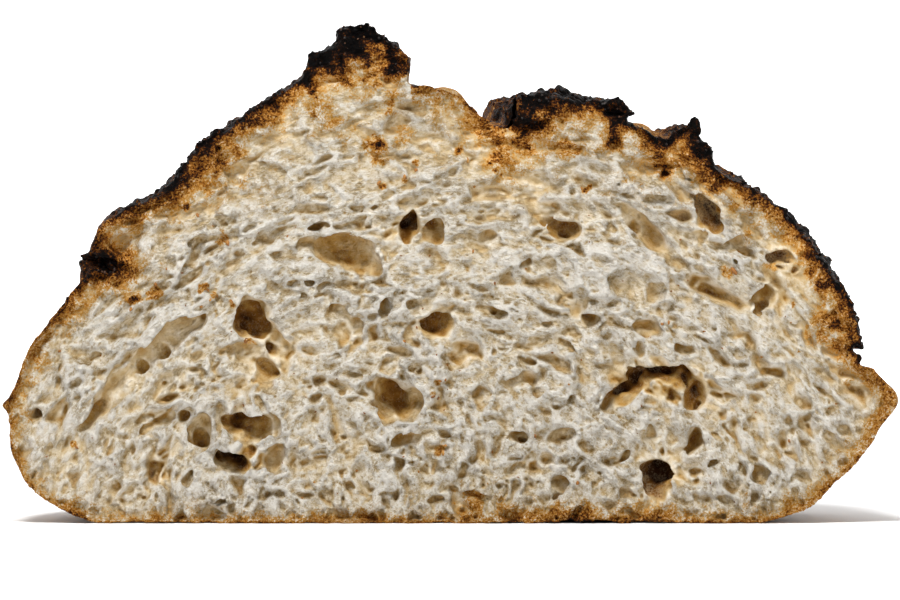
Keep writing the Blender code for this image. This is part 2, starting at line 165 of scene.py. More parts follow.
# Finer gas holes, sown at random: the range of their radii and how many to try
SOWN_HOLES = ((1.3, 2.5, 420), (0.9, 1.4, 750), (0.5, 0.9, 3500))
SOWN_LOW = (-112.0, 2.0)
SOWN_HIGH = (114.0, 124.0)
SOWN_STRETCH = (1.0, 1.75)   # length of a sown hole for its width, and its depth for its radius
SOWN_DEPTH = (0.9, 1.7)
SOWN_PLACE = (-0.6, 0.45)    # how far behind the cut its middle lies, for its depth
SOWN_TURN = 0.35             # how much its tilt strays from the way the crumb rose
SOWN_GAP = 0.5               # least gap to the next hole, for its radius
KEPT_CLEAR = 0.36            # share of a known hole's length, round its middle, that is left alone
POCKET_AWAY = (0.75, 1.05)   # a pocket's distance from the middle of its hole, and its own size
POCKET_SIZE = (0.35, 0.65)
POCKET_LENGTH = 1.3
POCKETS = 2                  # of a known hole
SPARSE = 0.75            # how far the crumb goes from open patches to dense ones
HOLE_LIFT = 0.4          # rise of a hole for each step back: the upper rim hangs over it

# Shallow dimples all over the cut: spacing, least and greatest depth, share that stays flat
DIMPLES = ((7.5, 0.3, 2.6, 0.6), (4.2, 0.3, 2.4, 0.6), (2.2, 0.2, 1.3, 0.6))
TORN_LENGTH = 0.62       # squeezes a pattern's places along the crumb, so that it comes out longer
TORN_WARPS = ((5.0, 71, 1.8), (1.9, 73, 0.7))   # spacing, seed, reach
TORN_BACK = 0.4          # how far the torn face lies back between its dimples
# Swells and wrinkles of the torn crumb: spacing, seed, height
SWELLS = ((12.0, 61, 1.1), (6.0, 62, 1.0))
WRINKLES = ((4.6, 63, 1.1), (2.4, 64, 0.95), (1.25, 65, 0.6), (0.7, 66, 0.34))
GRAIN_CENTRE = -42.0     # height of the point that the crumb's stretched cells curve around
GRAIN_RADIUS = 110.0     # where distances along them are true

# The baked crust round the cut: angle, darkness, thickness of its darkest layer
BAKING = np.array((
    (-90, 0.48, 0.4), (-68, 0.50, 0.4), (-62, 0.66, 0.35), (-38, 0.70, 0.35), (-26, 0.54, 0.5),
    (-20, 0.38, 0.8), (-8, 0.42, 1.6), (-2, 0.44, 3.2), (3, 0.46, 2.8), (6, 0.58, 1.4),
    (8.5, 0.88, 1.5), (14, 0.92, 1.3), (30, 0.92, 1.2), (38, 0.90, 1.2), (44, 0.95, 1.6),
    (50, 1.00, 3.4), (53, 0.85, 1.6), (56, 0.80, 1.2), (59, 0.95, 1.8), (64, 1.00, 2.2),
    (76, 1.00, 2.4), (79.5, 0.86, 1.2), (83, 0.66, 1.3), (90, 0.62, 1.3), (95, 0.60, 1.0),
    (97.6, 0.70, 1.4), (99.4, 1.00, 3.2), (104, 1.00, 5.0), (109, 1.00, 2.8), (116, 0.95, 1.7),
    (124, 0.97, 1.2), (136, 0.95, 1.2), (146, 0.88, 1.2), (150, 0.76, 1.4), (152, 0.58, 1.8),
    (155.8, 0.62, 2.2), (156.8, 0.84, 1.3), (158, 0.80, 1.3), (160.4, 0.74, 1.3),
    (162, 0.60, 1.3), (166, 0.52, 1.2), (171, 0.42, 1.2), (178, 0.38, 1.0), (192, 0.38, 0.9),
    (200, 0.47, 0.5), (232, 0.48, 0.4), (270, 0.48, 0.4),
))
# How the bake fades below the darkest layer, from its outside (-1) through its foot (0) inwards
FADE_STEPS = (
    (-1.0, 1.0), (-0.35, 0.94), (0.0, 0.70), (0.3, 0.58), (0.7, 0.46), (1.2, 0.30), (1.8, 0.17),
    (3.0, 0.09), (5.0, 0.0),
)

# Places baked more than the crust around them, or less, and one shaded hollow darkened with painted
# shade: x, z, reach, change of darkness
SCORCHES = (
    (-13.4, 119.0, 2.3, 0.45), (-36.6, 115.6, 2.0, 0.30), (-89.6, 68.2, 1.9, 0.45),
    (-91.5, 63.4, 2.8, 0.14), (-97.0, 57.0, 4.5, 0.12), (16.0, 106.0, 3.4, 0.26),
    (24.0, 104.5, 3.6, 0.22), (44.0, 105.5, 3.4, 0.36), (62.0, 96.0, 3.0, 0.26),
    # (-26.5, 101.5) below is painted shade in a hollow under the top crust, not a burn
    (97.5, 53.0, 3.4, 0.30), (-18.4, 95.8, 3.0, 0.28), (-26.5, 101.5, 4.8, 0.12),
    (-12.0, 101.0, 3.5, 0.14), (43.5, 99.0, 2.2, 0.30), (30.0, 98.0, 2.4, 0.24),
    (-72.0, 86.0, 3.6, 0.14), (-60.0, 94.0, 3.6, 0.14), (-113.5, 31.5, 2.0, 0.12),
    (-82.0, 78.0, 3.6, 0.12), (-98.0, 3.0, 4.0, 0.10), (-22.0, 1.5, 3.0, 0.10),
    (5.8, 5.9, 3.2, 0.30), (54.0, 1.5, 5.0, 0.10), (33.0, 1.5, 4.0, 0.10),
)
# Holes whose inside gets more painted shade than the rest, by looking deeper to the finish: x, z,
# reach, how much deeper they look
PAINTED_SHADE_HOLES = (
    (66.0, 81.5, 6.5, 5.0), (86.5, 68.0, 5.5, 5.0), (54.0, 10.6, 6.0, 5.0),
    (-53.0, 16.8, 3.4, 7.0), (-3.5, 50.5, 6.0, 3.0), (-11.0, 77.0, 5.0, 3.0),
    (-51.5, 53.5, 6.0, 2.0), (45.5, 34.5, 5.0, 3.0), (54.5, 38.6, 6.0, 5.0),
    (63.0, 36.0, 5.0, 4.0), (-53.0, 25.5, 6.0, 2.0), (83.5, 58.0, 4.0, 2.0),
)
TOAST = 0.16             # how much the crumb is browned below the top crust, and how far down
TOAST_REACH = 34.0

# Bran flecks in the crumb: x, z, size; then how many smaller ones are sown
BRAN_FLECKS = (
    (2.1, 97.0, 1.3), (11.7, 92.0, 1.0), (-11.7, 89.2, 1.2), (-17.7, 87.9, 1.4),
    (-9.0, 94.0, 1.2), (35.1, 86.6, 1.0), (-68.9, 82.4, 1.3), (-58.8, 74.1, 1.9),
    (-77.0, 60.3, 1.2), (-82.7, 58.2, 1.4), (-61.4, 59.5, 1.2), (-63.7, 61.6, 1.0),
    (-56.7, 56.9, 1.2), (-52.3, 47.6, 1.2), (-98.3, 20.5, 1.1), (-3.4, 36.7, 1.1),
    (-4.4, 33.8, 1.2), (-3.1, 18.5, 1.2), (-2.1, 19.8, 1.0), (72.8, 65.0, 1.8),
)
SOWN_FLECKS = 90
FLECK_SIZE = 0.85
FLECK_STAIN = 0.8        # reach of the browning round a fleck, as a share of its size
FLECK_DARKNESS = 0.40
GRIT_COUNT = 2600
GRIT_SIZE = 0.5
SCORCH_LIMIT = 0.5       # the most that scorches on one another may darken
CRAG_SINK = 1.1          # keeps the crags' crests at the outline, rather than their middle
PALE_CRAGS = 0.16        # height of the crags on pale crust, for 1 on the blackest

CELL = 0.34        # edge of the crumb's grid cells
CRUST_STEP = 0.56  # spacing of the crust's points
SLAB_DEPTH = 13.2                         # how far behind the cut the crumb is modelled
SLAB_LOW = np.array((-119.0, -1.2, -1.2))
SLAB_HIGH = np.array((119.5, SLAB_DEPTH, 133.5))
WALL_END = 9.6                            # the crumb's own outer wall ends here, in the crust
OVERLAP = 0.9                             # how far crumb and crust dip where they overlap
# the shelter darkens enclosed crevices as painted shade
SHELTER_REACHES = (0.7, 2.0)              # how far round a point its shelter is felt
STRIP_FACES = 95000                       # most faces of one strip of the crumb
NEARBY = tuple(range(-12, 13, 4))         # degrees over which the darkness is averaged behind

GRAIN_LOW = np.array((-124.0, -8.0, -8.0))     # the box that smooth random values fill
GRAIN_HIGH = np.array((124.0, 122.0, 142.0))
GRAIN_SPREAD = 2.5                             # of the values that are smoothed to about 1

# The studio: what the camera looks at, its distance in metres and its rise in degrees
LOOK_HEIGHT = 58.2
CAMERA_DISTANCE = 1.203
CAMERA_RISE = 0.5
LIGHTS = (   # place, size, power
    ("key_light", (-0.15, -0.52, 0.98), 0.3, 14.0),
    ("fill_light", (0.7, -0.8, 0.35), 0.8, 1.5),
    ("back_light", (0.0, 0.6, 0.9), 0.8, 2.5),
)
ROOM_LIGHT = 0.29
FLOOR_FRONT, FLOOR_END, FLOOR_HALF_WIDTH, FLOOR_TOP = -2.5, 2.0, 5.0, 4.0   # metres


class Grain:
    """Smooth random values of about -1 to 1 in space, at one spacing."""

    def __init__(self, spacing, seed):
        self.spacing = spacing
        counts = np.ceil((GRAIN_HIGH - GRAIN_LOW) / spacing).astype(int) + 5
        values = np.random.default_rng(seed).uniform(-GRAIN_SPREAD, GRAIN_SPREAD, counts)
        self.values = values.astype(np.float32)

    def weights(self, places, axis):
        """Lowest lattice index and four smooth weights for each place along an axis."""
        share = (np.asarray(places) - GRAIN_LOW[axis]) / self.spacing + 1.0
        index = np.floor(share).astype(int)
        t = (share - index).astype(np.float32)
        shares = (
            (1 - t)**3 / 6,
            (3 * t**3 - 6 * t**2 + 4) / 6,
            (-3 * t**3 + 3 * t**2 + 3 * t + 1) / 6,
            t**3 / 6,
        )
        return index - 1, np.stack(shares, axis=-1)

    def grid(self, places):
        """Values on the grid of the given places along x, y and z."""
        result = self.values
        for axis in (1, 2, 0):
            index, shares = self.weights(places[axis], axis)
            matrix = np.zeros((len(places[axis]), self.values.shape[axis]), np.float32)
            for tap in range(4):
                matrix[np.arange(len(index)), index + tap] = shares[:, tap]
            result = np.moveaxis(np.tensordot(matrix, result, axes=(1, axis)), 0, axis)
        return result

    def at(self, points):
        """Values at loose points."""
        starts, shares = zip(*(self.weights(points[..., axis], axis) for axis in range(3)))
        counts = self.values.shape
        result = np.zeros(points.shape[:-1], np.float32)
        for i in range(4):
            for j in range(4):
                share = shares[0][..., i] * shares[1][..., j]
                column = (starts[0] + i) % counts[0], (starts[1] + j) % counts[1]
                for k in range(4):
                    spot = (*column, (starts[2] + k) % counts[2])
                    result += share * shares[2][..., k] * self.values[spot]
        return result


CRAG_GRAINS = (Grain(6.5, 11), Grain(2.3, 12), Grain(1.05, 13), Grain(0.6, 14))


def cells(points, spacing, seed):
    """(distance from the wall between cells, a random number for each cell), at flat points."""
    spots = points / spacing
    corner = np.floor(spots).astype(int)
    low = corner.reshape(-1, 2).min(axis=0) - 2
    counts = corner.reshape(-1, 2).max(axis=0) - low + 4
    random = np.random.default_rng(seed).uniform(0.0, 1.0, (*counts, 3)).astype(np.float32)
    nearest = np.full(points.shape[:-1], 9.0, np.float32)
    second = nearest.copy()
    lot = np.zeros_like(nearest)
    for i in (-1, 0, 1):
        for j in (-1, 0, 1):
            cell = corner + (i, j)
            picked = random[cell[..., 0] - low[0], cell[..., 1] - low[1]]
            away = np.linalg.norm(cell + picked[..., :2] - spots, axis=-1)
            closer = away < nearest
            second = np.where(closer, nearest, np.minimum(second, away))
            lot = np.where(closer, picked[..., 2], lot)
            nearest = np.where(closer, away, nearest)
    return (second - nearest) * spacing, lot


def smooth_max(first, second, reach):
    """The greater of two fields, with the edge between them rounded over a reach."""
    gap = np.maximum(reach - np.abs(first - second), 0.0)
    return np.maximum(first, second) + gap**2 / (4.0 * reach)


def smooth_step(low, high, value):
    """0 below low, 1 above high, with an easy rise between them."""
    share = np.clip((value - low) / (high - low), 0.0, 1.0)
    return share * share * (3.0 - 2.0 * share)


def upward(angle):
    """0 at the widest level and below it, 1 at the top of the dome."""
    return np.sin(np.radians(np.clip(angle, 0.0, 180.0)))


def dome_radius(angle):
    """Radius of the dome's outline, on a smooth curve through the points of DOME."""
    angles, radii = DOME[:, 0], DOME[:, 1]
    index = np.clip(np.searchsorted(angles, angle, side="right") - 1, 1, len(DOME) - 3)
    span = angles[index + 1] - angles[index]
    share = (angle - angles[index]) / span
    slope_start, slope_end = (
        (radii[after] - radii[before]) / (angles[after] - angles[before]) * span
        for before, after in ((index - 1, index + 1), (index, index + 2))
    )
    return (
        (2 * share**3 - 3 * share**2 + 1) * radii[index]
        + (share**3 - 2 * share**2 + share) * slope_start
        + (3 * share**2 - 2 * share**3) * radii[index + 1]
        + (share**3 - share**2) * slope_end
    )


def slash_relief(angle, turn):
    """(rise, lean, openness) that the slashes give the crust."""
    rise = np.zeros(np.broadcast(angle, turn).shape)
    lean = np.zeros_like(rise)
    opened = np.zeros_like(rise)
    for number, slash in enumerate(SLASHES):
        right, left = slash["right"], slash["left"]
        strength = 1.0 - smooth_step(slash["end"] - FADE_TURN, slash["end"], turn)
        settle = np.minimum(1.0, turn / FADE_TURN)
        wave = np.sin(np.radians(WAVER_RATE * turn) + number)
        strength = strength * (1.0 - WAVER * settle * wave)
        past_left = smooth_step(left - EDGE, left, angle)
        inside = smooth_step(right, right + EDGE, angle) * (1.0 - past_left)
        across = (2.0 * angle - right - left) / (left - right)
        ridge = RIDGE_SHARE * slash["depth"] * np.maximum(0.0, 1.0 - (across / RIDGE_WIDTH) ** 2)
        rise -= inside * (slash["depth"] - ridge) * strength
        opened = np.maximum(opened, inside * np.clip(strength, 0.0, 1.0))
        for past, lip, hang, way in (
            (angle - left, slash["lip_left"], slash["hang_left"], -1.0),
            (right - angle, slash["lip_right"], slash["hang_right"], 1.0),
        ):
            beyond = np.maximum(0.0, past / slash["reach"])
            rise += lip * (beyond * np.exp(1.0 - beyond)) ** LIP_SHARPNESS * strength
            hung = way * hang * np.exp(-HANG_FALL * beyond) * (1.0 - inside) * strength
            lean += np.where(past > -EDGE, hung, 0.0)
    return rise, lean, opened


def slash_bend(angle, turn):
    """Degrees that a crust point moves round, so that slashes bend and close on their way back."""
    bend = DRIFT * np.sin(np.radians(turn)) * upward(angle)
    for slash in SLASHES:
        middle = 0.5 * (slash["left"] + slash["right"])
        reach = PINCH_REACH * (slash["left"] - middle)
        closing = PINCH * smooth_step(PINCH_START * slash["end"], slash["end"], turn)
        bend = bend - (angle - middle) * closing * np.exp(-(((angle - middle) / reach) ** 2))
    return bend


def lump_relief(angle, behind, radius):
    """Height that the burnt lumps add, at a distance behind the cut."""
    rise = 0.0
    for lump_angle, lump_behind, lump_radius, lump_height in LUMPS:
        across = np.radians(angle - lump_angle) * radius
        along = behind - lump_behind
        rise = rise + lump_height * np.exp(-(across**2 + along**2) / lump_radius**2)
    return rise


def section_scale(turn):
    """(width, flatness of the underside, distance behind the cut) of the section at a turn."""
    power = 2.0 / PLAN_ROUNDNESS
    width = np.cos(np.radians(turn)) ** power
    back = np.sin(np.radians(turn)) ** power
    flat = np.maximum(0.0, 1.0 - back**BASE_SQUARENESS) ** (1.0 / BASE_SQUARENESS)
    return width, flat, HALF_DEPTH * back


def crust_points(angle, turn, lumps=1.0):
    """(points of the crust, how open a slash is there), for broadcast angles and turns."""
    angle, turn = np.broadcast_arrays(angle, turn)
    width, flat, behind = section_scale(turn)
    even = smooth_step(0.0, EVEN_TURN, turn) * np.minimum(1.0, upward(angle) / EVEN_RISE)
    even_radius = BACK_SIDE + (BACK_TOP - BACK_SIDE) * upward(angle) ** 2
    radius = dome_radius(angle) * (1.0 - even) + even_radius * even
    direction = np.radians(angle + slash_bend(angle, turn))
    side, up = np.cos(direction), np.sin(direction)
    x = radius * width * side
    z = HUB_HEIGHT + radius * up * np.where(up > 0.0, width, flat * BASE_OVERSHOOT)
    rise, lean, opened = slash_relief(angle, turn)
    rise = rise + lumps * lump_relief(angle, behind, radius)
    calm = smooth_step(0.0, CALM_HEIGHT, z)
    grown = smooth_step(0.0, CRAG_GROWTH, behind)
    spots = np.stack((x, behind, z), axis=-1).reshape(-1, 3)
    for spacing, cut_height, full_height in CRAGS:
        swell = np.array([noise.noise(Vector(spot)) for spot in spots / spacing]).reshape(x.shape)
        rise = rise + (cut_height + (full_height - cut_height) * grown) * calm * swell
    facing = np.cos(np.radians(turn))
    points = np.stack((
        x + rise * side * facing - lean * up,
        behind + rise * np.sin(np.radians(turn)),
        np.maximum(0.0, z + rise * up * facing + lean * side),
    ), axis=-1)
    return points, opened


def hub_angle(x, z):
    """Angle of a point round the hub, from -90 to 270 degrees."""
    angle = np.degrees(np.arctan2(z - HUB_HEIGHT, x))
    return np.where(angle < -90.0, angle + 360.0, angle)


def creased(values):
    """Random values folded into sharp creases, with rounded tops between them."""
    return 1.7 * np.abs(values) - 0.5


def crag_relief(values, dark):
    """Height of the crust's fine crags, from the values of CRAG_GRAINS, larger where it is dark."""
    broad, middle, fine, finest = values
    rough = 0.8 * broad + 0.75 * creased(middle) + 0.45 * creased(fine) + 0.3 * finest
    return (rough - CRAG_SINK) * (PALE_CRAGS + (1.0 - PALE_CRAGS) * smooth_step(0.45, 0.95, dark))


def darkness(angle):
    """How dark the crust is baked at an angle round the cut."""
    return np.interp(angle, BAKING[:, 0], BAKING[:, 1])


def scorching(points):
    """Change of darkness round the burnt places and bran stains, and the painted shade of one
    hollow, with a ragged edge.
    """
    ragged = 1.0 + 0.45 * Grain(2.6, 54).at(points) + 0.3 * Grain(1.0, 55).at(points)
    change = np.zeros(points.shape[:-1], np.float32)
    stains = tuple((x, z, FLECK_STAIN * size, FLECK_DARKNESS) for x, z, size in BRAN_FLECKS)
    for x, z, reach, darker in SCORCHES + stains:
        near = np.abs(points[..., 0] - x) < 2.5 * reach
        near &= np.abs(points[..., 2] - z) < 2.5 * reach
        away = np.hypot(points[near][:, 0] - x, points[near][:, 2] - z) * ragged[near] / reach
        change[near] += darker * np.exp(-away**4)
    return np.minimum(change, SCORCH_LIMIT) * (1.0 - smooth_step(8.0, 20.0, points[..., 1]))


def evenly_spaced(steps, values):
    """Values at even distances along a line, from the lengths of the steps between them."""
    walked = np.concatenate(([0.0], np.cumsum(steps)))
    stops = np.linspace(0.0, walked[-1], round(walked[-1] / CRUST_STEP))
    return np.interp(stops, walked, values)


def even_angles():
    """Angles at an even spacing along the cut's outline, its slashes' sides included."""
    fine = np.linspace(FOOT_RIGHT, FOOT_LEFT, 6000)
    points, _ = crust_points(fine, 0.0, lumps=0.0)
    return evenly_spaced(np.linalg.norm(np.diff(points, axis=0), axis=1), fine)


def outline_distance(xs, zs, outline):
    """Distance from each point of the grid to the closed outline, negative within it."""
    start = outline.astype(np.float32)
    step = np.roll(start, -1, axis=0) - start
    length = (step**2).sum(axis=1) + 1e-9
    result = np.empty((len(xs), len(zs)), np.float32)
    from_z = zs.astype(np.float32)[:, None] - start[:, 1]
    for row, x in enumerate(xs):
        from_x = np.float32(x) - start[:, 0]
        share = np.clip((from_x * step[:, 0] + from_z * step[:, 1]) / length, 0.0, 1.0)
        off_x, off_z = from_x - share * step[:, 0], from_z - share * step[:, 1]
        nearest = (off_x**2 + off_z**2).min(axis=1)
        crossed = (start[:, 0] <= x) != (start[:, 0] + step[:, 0] <= x)
        levels = start[crossed, 1] + from_x[crossed] / step[crossed, 0] * step[crossed, 1]
        above = (levels > zs[:, None]).sum(axis=1)
        result[row] = np.sqrt(nearest) * np.where(above % 2 == 1, -1.0, 1.0)
    return result


class Crumb:
    """The cut face and what the knife opened behind it, as a field: negative within the bread."""

    def __init__(self, angles):
        self.places = [np.arange(low, high, CELL) for low, high in zip(SLAB_LOW, SLAB_HIGH)]
        xs, _, zs = self.places
        outline, _ = crust_points(angles, 0.0, lumps=0.0)
        self.skin = -outline_distance(xs, zs, outline[:, (0, 2)])
        self.angle = hub_angle(xs[:, None], zs[None, :]).astype(np.float32)
        around = np.maximum.accumulate(hub_angle(outline[:, 0], outline[:, 2]))
        edge = np.interp(self.angle, around, np.hypot(outline[:, 0], outline[:, 2] - HUB_HEIGHT))
        self.inward = edge - np.hypot(xs[:, None], zs[None, :] - HUB_HEIGHT)
        self.dark = darkness(self.angle).astype(np.float32)
        self.thick = np.interp(self.angle, BAKING[:, 0], BAKING[:, 2]).astype(np.float32)
        self.warps = []
        for axis in range(3):
            self.warps.append(sum(
                Grain(spacing, seed + axis).grid(self.places) * reach
                for spacing, seed, reach in HOLE_WARPS
            ))
        self.void = np.full([len(place) for place in self.places], CLEAR, np.float32)
        self.random = np.random.default_rng(5)

    def open_hole(self, centre, sizes, tilt):
        """Opens one egg-shaped hole, with its half sizes along its tilt, back and across."""
        reach = max(sizes) + HOLE_MARGIN
        spans = []
        for middle, places in zip(centre, self.places):
            first, last = np.searchsorted(places, (middle - reach, middle + reach))
            if last <= first:
                return
            spans.append(slice(first, last))
        spans = tuple(spans)
        x = self.places[0][spans[0]][:, None, None] - centre[0] + self.warps[0][spans]
        y = self.places[1][spans[1]][None, :, None] - centre[1] + self.warps[1][spans]
        z = self.places[2][spans[2]][None, None, :] - centre[2] + self.warps[2][spans]
        z = z - HOLE_LIFT * np.maximum(y, 0.0)
        along = (x * math.cos(tilt) + z * math.sin(tilt)) / sizes[0]
        across = (z * math.cos(tilt) - x * math.sin(tilt)) / sizes[2]
        size = (sizes[0] * sizes[1] * sizes[2]) ** (1 / 3)
        distance = (np.sqrt(along**2 + (y / sizes[1]) ** 2 + across**2) - 1.0) * size
        self.void[spans] = np.minimum(self.void[spans], distance)

    def open_known_holes(self):
        """Opens the holes whose places are known, at their size where the cut meets them."""
        widen = 1.0 / math.sqrt(1.0 - HOLE_SINK**2)
        for x, z, length, height, tilt, depth in SOLID_HOLES + SMALL_HOLES:
            back = depth / (1.0 + HOLE_SINK)
            centre = (x, back * HOLE_SINK, z)
            sizes = (length / 2 * widen, back, height / 2 * widen)
            self.open_hole(centre, sizes, math.radians(tilt))
            self.open_pockets(centre, sizes, math.radians(tilt), POCKETS)

    def sow_holes(self):
        """Opens the fine holes that lie between the others, stretched the way the crumb rose."""
        xs, _, zs = self.places
        known = [
            (x, z, max(length, height) * KEPT_CLEAR)
            for x, z, length, height, _, _ in SOLID_HOLES + SMALL_HOLES
        ]
        taken = np.full((len(known) + sum(row[2] for row in SOWN_HOLES), 3), 1e6)
        taken[:len(known)] = known
        filled = len(known)
        crowding = Grain(15.0, 53).grid((xs, np.zeros(1), self.places[2]))[:, 0]
        for low, high, count in SOWN_HOLES:
            for _ in range(count):
                x = self.random.uniform(SOWN_LOW[0], SOWN_HIGH[0])
                z = self.random.uniform(SOWN_LOW[1], SOWN_HIGH[1])
                radius = self.random.uniform(low, high)
                column = np.searchsorted(xs, x), np.searchsorted(zs, z)
                crust = (self.thick[column] + 0.8) * smooth_step(0.5, 0.9, self.dark[column]) + 1.2
                if self.skin[column] < crust + radius:
                    continue
                if crowding[column] < self.random.uniform(-SPARSE, SPARSE):
                    continue
                near = taken[:filled]
                gaps = np.hypot(near[:, 0] - x, near[:, 1] - z) - near[:, 2]
                if gaps.min() < SOWN_GAP * radius:
                    continue
                taken[filled] = x, z, radius
                filled += 1
                self.sow_hole(x, z, radius)

    def sow_hole(self, x, z, radius):
        """Opens one fine hole at a random depth, with pockets if it is large."""
        stretch = self.random.uniform(*SOWN_STRETCH)
        tilt = math.atan2(-x, z - GRAIN_CENTRE) + self.random.normal(0.0, SOWN_TURN)
        back = radius * self.random.uniform(*SOWN_DEPTH)
        sizes = (radius * stretch, back, radius / stretch**0.5)
        centre = (x, back * self.random.uniform(*SOWN_PLACE), z)
        self.open_hole(centre, sizes, tilt)
        if radius > 0.9 and centre[1] > 0.0:
            self.open_pockets(centre, sizes, tilt, self.random.integers(0, 3))

    def open_pockets(self, centre, sizes, tilt, count):
        """Opens smaller pockets in the wall of a hole, so that it isn't a plain egg."""
        radius = min(sizes[0], sizes[2])
        for _ in range(count):
            along, back, across = self.random.normal(0.0, 1.0, 3)
            far = self.random.uniform(*POCKET_AWAY) / math.hypot(along, back, across)
            along, across = along * far * sizes[0], across * far * sizes[2]
            place = (
                centre[0] + along * math.cos(tilt) - across * math.sin(tilt),
                centre[1] + abs(back) * far * sizes[1],
                centre[2] + along * math.sin(tilt) + across * math.cos(tilt),
            )
            pocket = radius * self.random.uniform(*POCKET_SIZE)
            self.open_hole(place, (pocket * POCKET_LENGTH, pocket, pocket), tilt)

    def torn_face(self):
        """How far the cut face lies back in its torn shallow cells, swells and wrinkles."""
        xs, _, zs = self.places
        x, z = np.meshgrid(xs, zs, indexing="ij")
        flow = grain_direction(np.stack((x, np.zeros_like(x), z), axis=-1))
        flow[..., 0] *= TORN_LENGTH
        along, across = (
            sum(reach * Grain(spacing, seed + n).at(flow) for spacing, seed, reach in TORN_WARPS)
            for n in (0, 1)
        )
        flow[..., 0] += along
        flow[..., 2] += across
        back = np.full(x.shape, TORN_BACK)
        for number, (spacing, least, most, flat) in enumerate(DIMPLES):
            wall, lot = cells(flow[..., (0, 2)], spacing, 81 + number)
            above = np.maximum(0.0, lot - flat) / (1.0 - flat)
            depth = np.where(lot > flat, least + (most - least) * above**1.5, 0.0)
            back += depth * smooth_step(0.04, 0.5, wall / spacing)
        for spacing, seed, height in SWELLS:
            back += height * Grain(spacing, seed).at(flow)
        for spacing, seed, height in WRINKLES:
            back += height * np.abs(Grain(spacing, seed).at(flow))
        return np.maximum(back, 0.35 * back).astype(np.float32)

    def field(self):
        """Negative within the bread, in millimetres or so from its surface."""
        xs, ys, zs = self.places
        y = ys[None, :, None]
        values = [grain.grid(self.places) for grain in CRAG_GRAINS]
        crags = crag_relief(values, self.dark[:, None, :])
        radius = np.hypot(xs[:, None], zs[None, :] - HUB_HEIGHT)
        lumps = lump_relief(self.angle[:, None, :], y, radius[:, None, :])
        self.cover = self.skin[:, None, :] + lumps.astype(np.float32) + crags
        self.cover -= OVERLAP * smooth_step(6.5, WALL_END, y)
        fine, finer = Grain(2.0, 41).grid(self.places), Grain(0.9, 42).grid(self.places)
        # the crust's own edge leans back from the cut, most where it is black and thick
        edge = np.clip(1.0 - self.skin / (self.thick + 1.0), 0.0, 1.0)[:, None, :]
        bevel = np.minimum(4.6, self.thick + 1.0) * smooth_step(0.7, 0.98, self.dark)
        bevel = bevel[:, None, :] * edge**1.6
        torn = self.torn_face()[:, None, :] * (1.0 - edge)
        face = 0.3 + bevel + torn + (0.2 + 0.6 * edge) * fine + 0.3 * finer - 0.5 * edge * crags
        self.bevel = bevel[:, 0]
        self.void += 0.16 * fine + 0.06 * finer
        self.void[:, -3:, :] = CLEAR
        # the rims of the holes are sharp in some places and rounded in others
        rounding = 0.12 + 0.9 * smooth_step(0.0, 0.9, Grain(8.0, 43).grid((xs, ys[:1], zs)))
        bread = smooth_max(face - y, -self.void, rounding.astype(np.float32))
        np.maximum(bread, -self.cover, out=bread)
        np.maximum(bread, 0.02 - zs[None, None, :], out=bread)
        return bread.astype(np.float32)


CORNERS = [(i, j, k) for i in (0, 1) for j in (0, 1) for k in (0, 1)]


def at_corner(array, corner):
    """The array's values at one corner of each cell of the grid."""
    return array[tuple(slice(c, n - 1 + c) for c, n in zip(corner, array.shape))]


def in_two_parts(code):
    """True if the corners that are set in the code aren't all joined by edges of the cell."""
    left = {number for number in range(8) if code >> number & 1}
    joined = [left.pop()] if left else []
    while joined:
        number = joined.pop()
        for step in (1, 2, 4):
            if number ^ step in left:
                left.remove(number ^ step)
                joined.append(number ^ step)
    return bool(left)


def clear_pinches(field, rounds=4, nudge=0.03):
    """Opens or fills the cells where two skins would share a point."""
    pinched = np.array([in_two_parts(code) or in_two_parts(255 - code) for code in range(256)])
    for _ in range(rounds):
        inside = field < 0.0
        code = sum(
            at_corner(inside, corner).astype(np.uint8) << number
            for number, corner in enumerate(CORNERS)
        )
        cells = np.argwhere(pinched[code])
        signs = np.stack([field[tuple((cells + corner).T)] < 0.0 for corner in CORNERS])
        few = signs.sum(axis=0) <= 4
        for corner in CORNERS:
            spot = tuple((cells + corner).T)
            value = field[spot]
            field[spot] = np.where(few, np.maximum(value, nudge), np.minimum(value, -nudge))


def grid_skin(field, places):
    """Points and four-cornered faces of the surface where the field is nought."""
    inside = field < 0.0
    shape = np.array(field.shape)
    count = sum(at_corner(inside, corner).astype(np.uint8) for corner in CORNERS)
    cells = np.argwhere((count > 0) & (count < 8))
    number = np.full(tuple(shape - 1), -1, np.int32)
    number[tuple(cells.T)] = np.arange(len(cells))
    total = np.zeros((len(cells), 3), np.float32)
    hits = np.zeros(len(cells), np.float32)
    values = {corner: field[tuple((cells + corner).T)] for corner in CORNERS}
    for start in CORNERS:
        for axis in range(3):
            if start[axis]:
                continue
            end = tuple(1 if a == axis else s for a, s in enumerate(start))
            low, high = values[start], values[end]
            crossed = (low < 0.0) != (high < 0.0)
            share = low[crossed] / (low[crossed] - high[crossed])
            spot = np.tile(np.array(start, np.float32), (crossed.sum(), 1))
            spot[:, axis] += share
            total[crossed] += spot
            hits[crossed] += 1.0
    origin = np.array([place[0] for place in places])
    points = origin + (cells + total / hits[:, None]) * CELL

    faces = []
    for axis in range(3):
        first, second = (axis + 1) % 3, (axis + 2) % 3
        low_cut, high_cut = [slice(None)] * 3, [slice(None)] * 3
        low_cut[axis], high_cut[axis] = slice(0, -1), slice(1, None)
        change = inside[tuple(low_cut)].astype(np.int8) - inside[tuple(high_cut)].astype(np.int8)
        for sign in (1, -1):
            spots = np.argwhere(change == sign)
            kept = np.ones(len(spots), bool)
            for other in (first, second):
                kept &= (spots[:, other] > 0) & (spots[:, other] < shape[other] - 1)
            spots = spots[kept]
            ring = []
            for a, b in ((0, 0), (1, 0), (1, 1), (0, 1)):
                cell = spots.copy()
                cell[:, first] -= 1 - a
                cell[:, second] -= 1 - b
                ring.append(number[tuple(cell.T)])
            faces.append(np.stack(ring[::sign], axis=1))
    return points, np.concatenate(faces), cells


